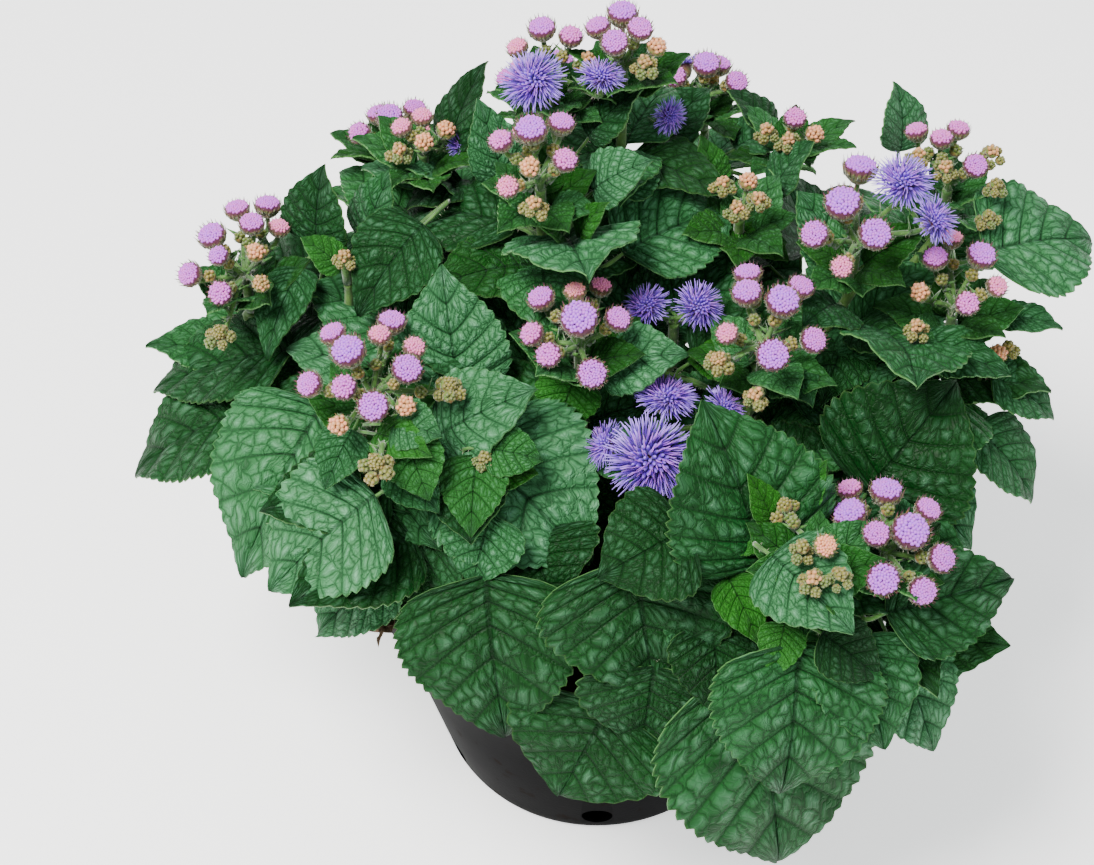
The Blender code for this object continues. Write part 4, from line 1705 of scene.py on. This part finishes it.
@dataclass(frozen=True)
class Soil:
    """The root ball: a lumpy top just below the rim, with crumbs on it."""

    top: float = 73.0
    radius: float = 54.3
    floor: float = 2.7
    floor_radius: float = 36.2
    crumbs: int = 420

    def mesh(self) -> bpy.types.Mesh:
        """The solid of soil.

        Returns:
            The mesh.
        """
        under = self.top - 6
        wall = [(self.floor_radius, self.floor), (self.radius - 0.6, under), (self.radius, self.top - 1)]
        spots = [(self.radius * (1 - (i + 1) / 13), self.top) for i in range(12)]
        mesh = turned([*wall, *spots, (0.5, self.top)], 80, SoilFinish())
        points = points_of(mesh)
        for row in points:
            if row[2] > under:
                lump = noise.noise(Vector(row) * 0.16) * 1.4 + noise.noise(Vector(row) * 0.55) * 0.8
                row[2] += lump
        move_points(mesh, points * MM)
        return mesh

    def crumb_mesh(self, draw: random.Random) -> bpy.types.Mesh:
        """Crumbs on the soil.

        Args:
            draw: The seeded source of random numbers.

        Returns:
            One mesh with all the crumbs.
        """
        count = self.crumbs
        angle = spread(draw, count, 0, math.tau)
        reach = np.sqrt(spread(draw, count, 0, 1)) * (self.radius - 2)
        size = spread(draw, count, 0.5, 1.9)
        ways = spread(draw, count * 3, -1, 1).reshape(-1, 3)
        feet = around(angle) * reach[:, None] + UP * self.top
        return copies(bead(SoilFinish()), aimed(ways, size, size * 0.8, size * 0.7) * MM, feet * MM)


@dataclass(frozen=True)
class DriedScraps:
    """Dried leaf scraps caught on the rim at the front left."""

    scraps: tuple = (
        ((-45, -36, 84), (-55, -41, 82), 5.0), ((-47, -37, 84), (-51, -45, 83), 3.6),
        ((-49, -35, 83.5), (-57, -37, 82.5), 3.0), ((-40, -44, 83.5), (-43, -50, 80), 3.4),
        ((-43, -42, 84), (-46, -47, 82), 2.6),
    )

    def meshes(self) -> list[bpy.types.Mesh]:
        """The crumpled scraps.

        Returns:
            The meshes.
        """
        return [Blade(Vector(base), Vector(tip), width, quilt=0.10, wave=0.16, fold=0.5, seed=i * 0.37,
                      thickness=0.3).mesh(DriedFinish())
                for i, (base, tip, width) in enumerate(self.scraps)]


def heads(*rows: tuple) -> tuple[Head, ...]:
    """Closed heads from rows of x, y, z and width, with a ripeness where it is known."""
    return tuple(Head(*row) for row in rows)


def blooms(*rows: tuple) -> tuple[Bloom, ...]:
    """Open blooms from rows of x, y, z, width and facing."""
    return tuple(Bloom(*row) for row in rows)


CLUSTERS: dict[str, FlowerCluster] = {
    "top": FlowerCluster(
        (6, 56, 162),
        heads((0, 64, 179, 6.3), (4, 52, 183, 6.6), (10, 56, 184, 6.2), (6, 64, 183, 7.4),
              (14, 54, 180, 4.8), (11, 50, 178, 4.2)),
    ),
    "top_left": FlowerCluster(
        (-10, 56, 157),
        heads((-19, 61, 175, 5.3), (-13, 62, 180, 6.7), (-6, 60, 179, 5.8), (-2, 58, 173, 4.3)),
        blooms((-15, 47, 176, 16, (-0.2, -0.5, 0.9)), (1, 48, 177, 12, (0.1, -0.1, 1))),
    ),
    "side": FlowerCluster(
        (14, 62, 138),
        blooms=blooms((18, 57, 157, 10, (0.5, -0.7, 0.4))),
    ),
    "crown": FlowerCluster(
        (-13, 28, 150),
        heads((-15, 32, 174, 7.7), (-8, 38, 171, 6.3), (-22, 30, 172, 5.8), (-17, 37, 169, 5.3),
              (-7, 23, 172, 5.8), (-15, 19, 173, 4.8), (-20, 17, 169, 5.3), (-14, 13, 167, 4.3)),
    ),
    "left_bud": FlowerCluster(
        (-42, 53, 140),
        heads((-47, 55, 156, 5.3), (-42, 58, 157, 5.3), (-36, 55, 155, 4.8), (-41, 49, 156, 4.8),
              (-47, 48, 154, 4.3)),
        blooms((-32, 55, 150, 9, (0.3, -0.4, 0.6))),
    ),
    "far_bud": FlowerCluster(
        (48, 72, 128),
        heads((49, 70, 147, 5.8), (42, 68, 144, 4.3), (47, 63, 145, 4.3), (54, 67, 144, 4.8)),
    ),
    "mid_bud": FlowerCluster(
        (34, 38, 132),
        heads((36, 42, 150, 4.8), (30, 43, 148, 4.3), (38, 36, 149, 4.3), (33, 34, 148, 4.3)),
    ),
    "right_far": FlowerCluster(
        (86, 54, 128),
        heads((84, 61, 148, 5.8), (79, 69, 144, 5.8), (78, 56, 146, 4.3), (91, 49, 149, 6.3),
              (89, 66, 147, 5.8), (96, 56, 147, 4.3), (96, 46, 145, 3.9), (84, 50, 147, 4.3),
              (94, 40, 140, 3.9)),
    ),
    "right": FlowerCluster(
        (60, 22, 136),
        heads((62, 41, 156, 8.2), (56, 23, 160, 8.7), (49, 15, 157, 6.7), (63, 14, 158, 7.7),
              (55, 7, 154, 5.3)),
        blooms((70, 27, 163, 15, (0, -0.3, 1)), (78, 20, 157, 13, (0.5, -0.3, 0.7))),
    ),
    "right_low": FlowerCluster(
        (84, 18, 120),
        heads((79, 23, 143, 6.3), (90, 23, 144, 7.2), (84, 31, 142, 5.3), (93, 15, 141, 5.3),
              (85, 8, 142, 5.8), (75, 15, 139, 4.8), (74, 7, 135, 4.3)),
    ),
    "centre_right": FlowerCluster(
        (38, 0, 124),
        heads((35, 19, 142, 6.7), (34, 7, 147, 7.2), (42, 2, 149, 8.2), (47, 11, 145, 6.3),
              (49, -5, 143, 6.3), (39, -13, 146, 7.7), (29, -5, 145, 5.3), (27, -11, 142, 4.8, 0.2),
              (35, -20, 140, 4.3)),
    ),
    "centre": FlowerCluster(
        (-4, -3, 128),
        heads((-4, -6, 151, 8.9), (-13, 5, 147, 6.5), (-5, 5, 149, 5.1), (1, 10, 146, 5.3),
              (5, -1, 146, 6.3), (-11, -12, 145, 6), (-1, -16, 143, 7), (-15, -4, 144, 5.8)),
    ),
    "hollow": FlowerCluster(
        (13, -14, 108),
        blooms=blooms((12, -27, 127, 21, (0, -0.7, 0.75)), (16, -10, 131, 15, (0.1, 0.1, 1)),
                      (1, -19, 124, 12, (-0.7, -0.2, 0.6)), (30, -12, 129, 12, (0.6, 0, 0.8))),
    ),
    "hollow_back": FlowerCluster(
        (18, 13, 122),
        blooms=blooms((11, 12, 138, 12, (-0.3, -0.3, 0.9)), (24, 12, 138, 13, (0.2, -0.4, 0.9))),
    ),
    "left": FlowerCluster(
        (-51, -10, 118),
        heads((-56, -8, 143, 8.2), (-61, 4, 137, 6.3), (-47, 6, 139, 6.7), (-49, -3, 143, 5.3),
              (-41, -5, 141, 5.3), (-42, -14, 143, 7.2), (-65, -13, 137, 6.3), (-56, -19, 142, 6),
              (-49, -25, 142, 7.2), (-42, -23, 140, 4.8), (-57, -26, 137, 4.8), (-33, -13, 136, 7.2, 0.1)),
    ),
    "left_side_bud": FlowerCluster(
        (-47, -28, 124),
        heads((-48, -36, 135, 5.8, 0.1)),
    ),
    "inner_bud": FlowerCluster(
        (-26, -22, 116),
        heads((-25, -27, 127, 3.8)),
    ),
    "far_left": FlowerCluster(
        (-85, 33, 116),
        heads((-93, 38, 137, 7.2), (-88, 49, 136, 6.3), (-81, 53, 134, 6.7), (-83, 40, 139, 6.3),
              (-77, 43, 135, 5.3), (-90, 29, 138, 5.1, 0.85), (-98, 29, 132, 6.3), (-89, 20, 134, 6),
              (-81, 30, 138, 4.8), (-79, 21, 136, 4.3, 0.3), (-89, 12, 128, 4.8, 0.1)),
    ),
    "back_left_bud": FlowerCluster(
        (-60, 30, 128),
        heads((-60, 29, 137, 4.2)),
    ),
    "front_right": FlowerCluster(
        (64, -44, 104),
        heads((56, -36, 120, 8), (57, -27, 118, 5.8), (65, -30, 121, 7.7), (74, -36, 121, 6.3),
              (61, -46, 124, 6.3), (69, -45, 124, 8.9), (76, -49, 119, 6.7), (62, -56, 120, 7.7),
              (71, -57, 117, 6.7)),
    ),
    "front_right_buds": FlowerCluster(
        (47, -50, 112),
        heads((49, -54, 129, 5.3, 0.4), (44, -54, 128, 3.9), (46, -61, 126, 4.3), (52, -60, 126, 3.9),
              (41, -38, 124, 7.2, 0.1)),
    ),
    "right_bud": FlowerCluster(
        (95, 16, 108),
        heads((96, 15, 119, 4.8), (99, 18, 118, 4)),
    ),
    "back_left": FlowerCluster(
        (-52, 76, 122),
        heads((-52, 76, 143, 7.2), (-60, 74, 139, 6), (-46, 83, 140, 6.2), (-44, 73, 141, 5.2),
              (-56, 85, 137, 6.4)),
    ),
    "back": FlowerCluster(
        (-14, 88, 128),
        heads((-14, 89, 150, 7.6), (-23, 87, 146, 6), (-6, 85, 148, 6.4), (-9, 97, 145, 6.8),
              (-20, 97, 143, 5.4)),
    ),
    "back_right": FlowerCluster(
        (28, 94, 124),
        heads((28, 95, 145, 7.4), (20, 93, 142, 6), (36, 91, 142, 6.2), (32, 103, 139, 6.6)),
        blooms((22, 103, 139, 12, (-0.2, 0.7, 0.6))),
    ),
}

SIDE_SHOOTS = {
    "side": "top", "top_left": "top", "left_side_bud": "left", "inner_bud": "left",
    "back_left_bud": "far_left", "hollow_back": "centre", "right_bud": "right_low",
    "front_right_buds": "front_right", "mid_bud": "right", "far_bud": "right_far",
}

# A set tone paints light on the leaf: low values paint shade on leaves that lie in shadow, and high ones a
# pale sheen highlight on lit leaves.
LEAVES = [
    Leaf("left", (-64, -4, 120), (-84, -26, 84), 42, tone=0.8),
    Leaf("left", (-50, -29, 117), (-75, -40, 96), 34, tone=1.0),
    Leaf("left", (-45, -31, 99), (-67, -34, 72), 22),
    Leaf("left", (-45, -27, 126), (-35, -37, 120), 13),
    Leaf("left", (-55, -19, 128), (-61, -30, 120), 13),
    Leaf("left", (-32, 1, 120), (-36, 18, 145), 27),
    Leaf("left", (-36, -15, 122), (-13, -14, 136), 24, tone=1.0),
    Leaf("inner_bud", (-29, -16, 120), (-1, -36, 101), 44, tone=1.0),
    Leaf("inner_bud", (-29, -26, 119), (-28, -42, 115), 18),
    Leaf("inner_bud", (-25, -43, 106), (-21, -62, 70), 43, tone=0.12),
    Leaf("hollow", (8, -45, 114), (13, -60, 84), 47, tone=0.15),
    Leaf("hollow", (3, -60, 80), (-9, -70, 58), 42, tone=0.1),
    Leaf("hollow", (34, -56, 90), (43, -74, 36), 54, tone=0.35),
    Leaf("front_right", (44, -62, 106), (41, -79, 72), 40, tone=0.4),
    Leaf("front_right_buds", (37, -44, 111), (23, -20, 139), 40, tone=0.3),
    Leaf("front_right_buds", (38, -51, 122), (55, -68, 116), 23, tone=1.0),
    Leaf("front_right_buds", (22, -48, 105), (20, -59, 91), 14),
    Leaf("front_right", (49, -62, 109), (62, -67, 99), 15),
    Leaf("front_right", (64, -54, 106), (95, -39, 100), 26),
    Leaf("front_right", (66, -54, 96), (77, -66, 70), 24),
    Leaf("centre_right", (62, -22, 110), (83, -3, 128), 40, tone=0.0),
    Leaf("right_low", (70, -18, 112), (87, -29, 98), 25),
    Leaf("far_left", (-72, 37, 126), (-79, 15, 116), 15),
    Leaf("far_left", (-74, 22, 113), (-111, 25, 95), 28, tone=0.2),
    Leaf("far_left", (-80, 11, 105), (-115, 8, 82), 33, tone=0.2),
    Leaf("far_left", (-68, 41, 130), (-65, 48, 150), 20),
    Leaf("back_left_bud", (-56, 42, 130), (-48, 48, 149), 16),
    Leaf("back_left_bud", (-41, 34, 143), (-57, 21, 125), 24),
    Leaf("crown", (-7, 26, 145), (-2, -2, 158), 32, tone=0.9),
    Leaf("crown", (-19, 32, 144), (-47, 50, 134), 24),
    Leaf("crown", (6, 26, 141), (33, 46, 135), 29),
    Leaf("crown", (-1, 32, 155), (13, 33, 163), 16),
    Leaf("crown", (3, 39, 149), (15, 51, 149), 16),
    Leaf("crown", (-2, 48, 158), (11, 53, 169), 17),
    Leaf("crown", (-22, 40, 151), (-28, 50, 168), 14),
    Leaf("left_bud", (-36, 57, 146), (-26, 67, 166), 14),
    Leaf("left_bud", (-34, 50, 139), (-46, 47, 149), 13),
    Leaf("left_bud", (-42, 54, 140), (-58, 58, 140), 14),
    Leaf("side", (14, 67, 139), (29, 81, 147), 20),
    Leaf("far_bud", (44, 80, 134), (33, 88, 141), 15),
    Leaf("far_bud", (44, 56, 135), (53, 60, 147), 16),
    Leaf("right_far", (77, 77, 130), (75, 88, 144), 19),
    Leaf("right", (58, 26, 138), (47, 38, 150), 18),
    Leaf("right", (56, 16, 134), (47, 4, 138), 18),
    Leaf("right", (70, 12, 126), (71, -17, 139), 31),
    Leaf("right_low", (76, 10, 126), (97, 3, 123), 15),
    Leaf("right_far", (93, 35, 133), (123, 50, 123), 35, tone=0.9),
    Leaf("right_low", (97, 24, 122), (112, 21, 121), 10),
    Leaf("right_bud", (95, 14, 112), (111, 9, 102), 18),
    Leaf("right_bud", (91, 5, 103), (106, -4, 86), 22, tone=0.6),
    Leaf("centre", (1, -2, 131), (21, -3, 136), 19),
    Leaf("centre_right", (42, 0, 129), (49, -13, 129), 14),
    Leaf("centre", (-20, 29, 129), (-38, 37, 131), 14),
]

YOUNG_LEAVES = [
    Leaf("left", (-49, -23, 131), (-36, -32, 133), 11, 0.6),
    Leaf("inner_bud", (-26, -24, 120), (-13, -27, 122), 12, 0.6),
    Leaf("front_right_buds", (36, -40, 118), (26, -45, 116), 9, 0.6),
    Leaf("front_right_buds", (39, -40, 120), (33, -34, 130), 8, 0.6),
    Leaf("front_right_buds", (43, -34, 118), (51, -30, 130), 10, 0.6),
    Leaf("front_right_buds", (23, -46, 107), (12, -43, 107), 11, 0.6),
    Leaf("front_right_buds", (29, -48, 111), (36, -61, 103), 12, 0.6),
    Leaf("front_right_buds", (41, -60, 110), (38, -69, 102), 11, 0.6),
    Leaf("back_left_bud", (-61, 32, 131), (-71, 35, 138), 10, 0.6),
    Leaf("back_left_bud", (-58, 31, 131), (-48, 33, 138), 10, 0.6),
    Leaf("crown", (-8, 23, 149), (-17, 18, 161), 9, 0.6),
    Leaf("crown", (-4, 22, 149), (3, 21, 161), 9, 0.6),
    Leaf("mid_bud", (31, 41, 137), (46, 32, 133), 14, 0.6),
    Leaf("mid_bud", (28, 53, 138), (25, 60, 149), 11, 0.6),
    Leaf("centre", (-5, -2, 128), (-9, -10, 118), 16, 0.6),
    Leaf("centre_right", (32, 2, 129), (21, 4, 127), 12, 0.6),
    Leaf("top", (9, 59, 166), (21, 62, 170), 10, 0.6),
    Leaf("inner_bud", (-27, -24, 125), (-28, -41, 116), 16, 0.25),
    Leaf("inner_bud", (-25, -24, 127), (-12, -25, 124), 13, 0.3),
    Leaf("left", (-42, -26, 131), (-37, -37, 124), 14, 0.35),
    Leaf("left", (-45, -23, 134), (-34, -27, 134), 13, 0.1),
]

# Their set tones paint shade and highlight, as the tones in the leaf table do.
COVER_LEAVES = [
    Leaf("inner_bud", (-24, -34, 116), (-28, -44, 103), 20),
    Leaf("hollow", (20, -43, 121), (0, -50, 113), 27, tone=0.0),
    Leaf("hollow", (13, -58, 92), (10, -65, 72), 34, tone=0.1),
    Leaf("inner_bud", (-16, -33, 106), (-9, -45, 98), 32, tone=0.1),
    Leaf("centre_right", (42, -17, 100), (64, -12, 106), 36, tone=0.1),
    Leaf("front_right", (43, -46, 98), (66, -49, 90), 32, tone=0.2),
    Leaf("left", (-39, -25, 104), (-48, -37, 88), 30, tone=0.3),
    Leaf("far_left", (-64, 28, 118), (-75, 35, 110), 22, tone=0.2),
    Leaf("right", (51, 49, 120), (43, 61, 138), 30, tone=0.5),
    Leaf("right", (43, 45, 120), (26, 56, 124), 26),
    Leaf("far_bud", (35, 78, 130), (52, 84, 130), 20, tone=0.7),
    Leaf("left_bud", (-32, 50, 142), (-46, 44, 139), 15),
    Leaf("inner_bud", (-34, -30, 102), (-48, -40, 84), 26),
    Leaf("hollow", (14, -34, 112), (22, -41, 102), 12, tone=0.1),
    Leaf("hollow", (17, -38, 110), (22, -54, 94), 16, tone=1.0),
    Leaf("hollow", (26, -52, 100), (27, -66, 84), 22),
    Leaf("far_left", (-54, 53, 118), (-73, 45, 106), 26, tone=0.2),
    Leaf("front_right", (56, -58, 102), (64, -74, 82), 26),
]


@dataclass(frozen=True)
class LeafRing:
    """A ring of leaves spread evenly between two headings: on its stems by turns, or on the nearest ones."""

    stems: tuple[str, ...]
    count: int
    first: float
    last: float
    radius: float
    height: float
    rise: float
    length: float
    width: float

    def leaves(self, draw: random.Random) -> Iterator[Leaf]:
        """The ring's leaves.

        Args:
            draw: The seeded source of random numbers.

        Yields:
            Each leaf.
        """
        for i in range(self.count):
            heading = math.radians(self.first + (self.last - self.first) * i / (self.count - 1)
                                   + draw.uniform(-5, 5))
            way = Vector((math.cos(heading), math.sin(heading), 0))
            size = draw.uniform(0.88, 1.05)
            base = way * self.radius + Vector((0, 0, self.height + draw.uniform(-3, 3)))
            pitch = math.radians(self.rise + draw.uniform(-6, 6))
            reach = (way * math.cos(pitch) + Vector((0, 0, math.sin(pitch)))) * self.length * size
            stem = self.stems[i % len(self.stems)] if self.stems else ""
            yield Leaf(stem, tuple(base), tuple(base + reach), self.width * size)


ROUND_MIDDLE = ("hollow", "left", "far_left", "left_bud", "crown", "right", "centre_right")
RINGS = (
    LeafRing(("back_left", "back", "back_right"), 4, 148, 48, 78, 116, -16, 40, 32),
    LeafRing(("back_left", "back", "back_right", "right_far"), 5, 158, 30, 62, 96, -24, 44, 36),
    LeafRing(("far_left", "back_left", "back_right", "right_far"), 4, 172, 12, 64, 90, -32, 36, 30),
    LeafRing(ROUND_MIDDLE, 8, 255, -68, 26, 92, -4, 30, 24),
    LeafRing((), 10, 14, 166, 46, 114, 4, 34, 28),
    LeafRing((), 6, 150, 215, 52, 106, 0, 34, 28),
    LeafRing((), 5, -35, 30, 58, 104, 0, 34, 28),
    LeafRing((), 8, 20, 160, 24, 122, 14, 28, 22),
    LeafRing((), 7, 0, 300, 6, 88, 2, 30, 25),
    LeafRing((), 10, 190, 350, 30, 86, -6, 30, 25),
    LeafRing((), 9, 10, 170, 28, 88, 0, 30, 25),
)


@dataclass(frozen=True)
class Rosette:
    """Leaves set evenly round a stem, a little below its flowers."""

    count: int
    drop: float
    length: float
    width: float
    rise: float
    age: float
    reach: float = 2.5

    def leaves(self, key: str, seat: Vector, draw: random.Random) -> Iterator[Leaf]:
        """The rosette's leaves.

        Args:
            key: The stem's name.
            seat: The seat of the stem's flower cluster.
            draw: The seeded source of random numbers.

        Yields:
            Each leaf.
        """
        start = draw.uniform(0, math.tau)
        for i in range(self.count):
            heading = start + math.tau * i / self.count + draw.uniform(-0.25, 0.25)
            way = Vector((math.cos(heading), math.sin(heading), 0))
            size = draw.uniform(0.8, 1.15)
            base = seat + way * self.reach + Vector((0, 0, draw.uniform(-2, 2) - self.drop))
            pitch = math.radians(self.rise + draw.uniform(-10, 10))
            tip = base + (way * math.cos(pitch) + Vector((0, 0, math.sin(pitch)))) * self.length * size
            yield Leaf(key, tuple(base), tuple(tip), self.width * size, self.age * draw.uniform(0.6, 1.2),
                       petiole_drop=3.0)


COLLAR = Rosette(7, -4.0, 15.0, 11.5, 24.0, 0.34)
LOWER = Rosette(5, 15.0, 27.0, 21.0, 4.0, 0.12)


@dataclass
class Plant:
    """The leafy stems and flower clusters, one piece for each."""

    shoots: dict[str, Shoot] = field(default_factory=dict)

    def __post_init__(self) -> None:
        """Works out every stem, those from the soil first."""
        for key, cluster in CLUSTERS.items():
            if key not in SIDE_SHOOTS:
                self.shoots[key] = Shoot(Vector(cluster.seat))
        for key, parent in SIDE_SHOOTS.items():
            self.shoots[key] = Shoot(Vector(CLUSTERS[key].seat), self.shoots[parent])

    def nearest(self, leaf: Leaf) -> str:
        """The stem that stands closest to the leaf's base.

        Args:
            leaf: The leaf.

        Returns:
            The stem's name.
        """
        base = Vector(leaf.base)
        low = base.z - leaf.petiole_drop
        own = [key for key in self.shoots if key not in SIDE_SHOOTS]
        return min(own, key=lambda key: (self.shoots[key].at_height(low) - base).length)

    def leaves(self) -> list[Leaf]:
        """Every leaf: those in the tables, the rings, and the collars and lower leaves of the stems.

        Returns:
            The leaves, in the order in which they draw random numbers.
        """
        draw = random.Random(7)
        found = LEAVES + YOUNG_LEAVES + COVER_LEAVES
        for leaf in [leaf for ring in RINGS for leaf in ring.leaves(draw)]:
            found.append(leaf if leaf.stem else replace(leaf, stem=self.nearest(leaf)))
        for key, cluster in CLUSTERS.items():
            seat = Vector(cluster.seat)
            if len(cluster.heads) > 3:
                found += COLLAR.leaves(key, seat, draw)
            if key not in SIDE_SHOOTS:
                found += LOWER.leaves(key, seat, draw)
        return found

    def build_stems(self) -> None:
        """Makes the leafy stems."""
        draw = random.Random(11)
        pieces = {key: Piece(f"leaves_{key}") for key in self.shoots if key not in SIDE_SHOOTS}
        for key, shoot in self.shoots.items():
            pieces[SIDE_SHOOTS.get(key, key)].add(*shoot.meshes(draw))
        for leaf in self.leaves():
            pieces[SIDE_SHOOTS.get(leaf.stem, leaf.stem)].add(*leaf.meshes(self.shoots[leaf.stem], draw))
        for key, piece in pieces.items():
            piece.finish("leaf", f"leafy_stem_{key}")

    def build_clusters(self) -> None:
        """Makes the flower clusters."""
        for number, (key, cluster) in enumerate(CLUSTERS.items()):
            piece = Piece(f"flowers_{key}")
            piece.add(*cluster.meshes(random.Random(100 + number)))
            piece.finish("flower", f"flower_cluster_{key}")


@dataclass(frozen=True)
class Studio:
    """The camera at the photo's angle, a pale floor and soft light."""

    elevation: float = 47.0
    distance: float = 520.0
    aim: Place = (0.0, 0.0, 100.0)
    frame_width: float = 1094.0
    frame_height: float = 865.0
    focal: float = 2160.0
    centre: tuple[float, float] = (597.0, 453.0)
    floor_size: float = 40.0
    sky: Colour = (0.90, 0.95, 1.0)
    sky_strength: float = 0.68

    def camera(self) -> None:
        """Sets up the camera."""
        made = bpy.data.cameras.new("camera")
        made.sensor_width = 36.0
        made.lens = self.focal / self.frame_width * made.sensor_width
        made.shift_x = -(self.centre[0] - self.frame_width / 2) / self.frame_width
        made.shift_y = (self.centre[1] - self.frame_height / 2) / self.frame_width
        obj = bpy.data.objects.new("camera", made)
        bpy.context.scene.collection.objects.link(obj)
        tilt = math.radians(self.elevation)
        away = Vector((0, -math.cos(tilt), math.sin(tilt)))
        obj.location = (Vector(self.aim) + away * self.distance) * MM
        obj.rotation_euler = away.to_track_quat("Z", "Y").to_euler()
        bpy.context.scene.camera = obj

    def floor(self) -> None:
        """Lays the floor."""
        shape = bmesh.new()
        bmesh.ops.create_grid(shape, x_segments=2, y_segments=2, size=self.floor_size)
        obj = bpy.data.objects.new("floor", mesh_of(shape, "floor", FloorFinish()))
        bpy.context.scene.collection.objects.link(obj)

    def lamp(self, name: str, place: Place, size: float, power: float, colour: Colour) -> None:
        """Hangs one soft lamp that looks at the plant.

        Args:
            name: The lamp's name.
            place: Where it hangs, in metres.
            size: The width of its disc, in metres.
            power: Its power, in watts.
            colour: The colour of its light.
        """
        light = bpy.data.lights.new(name, "AREA")
        light.shape = "DISK"
        light.size = size
        light.energy = power
        light.color = colour
        obj = bpy.data.objects.new(name, light)
        bpy.context.scene.collection.objects.link(obj)
        obj.location = place
        obj.rotation_euler = (Vector(place) - Vector(self.aim) * MM).to_track_quat("Z", "Y").to_euler()

    def light(self) -> None:
        """Soft light from above and all round."""
        world = bpy.data.worlds.new("studio")
        world.use_nodes = True
        sky = world.node_tree.nodes["Background"]
        sky.inputs["Color"].default_value = (*self.sky, 1.0)
        sky.inputs["Strength"].default_value = self.sky_strength
        bpy.context.scene.world = world
        self.lamp("key", (-0.45, -0.25, 1.15), 0.6, 34.0, (1.0, 0.98, 0.95))
        self.lamp("fill", (0.9, -0.7, 0.7), 0.9, 4.0, (0.92, 0.96, 1.0))

    def build(self) -> None:
        """Sets up the whole studio."""
        self.camera()
        self.floor()
        self.light()


def main() -> None:
    """Builds the scene."""
    logging.basicConfig(level=logging.INFO, format="%(message)s")
    for obj in list(bpy.data.objects):
        bpy.data.objects.remove(obj, do_unlink=True)
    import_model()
    Studio().build()
    pot = Piece("moulded_pot")
    pot.add(Pot().mesh())
    pot.finish("pot_plastic", "pot")
    soil = Piece("crumbly_soil")
    soil.add(Soil().mesh(), Soil().crumb_mesh(random.Random(5)))
    soil.finish("soil", "soil")
    scraps = Piece("dried_scraps")
    scraps.add(*DriedScraps().meshes())
    scraps.finish("leaf")
    plant = Plant()
    plant.build_stems()
    plant.build_clusters()


if __name__ == "__main__":
    main()
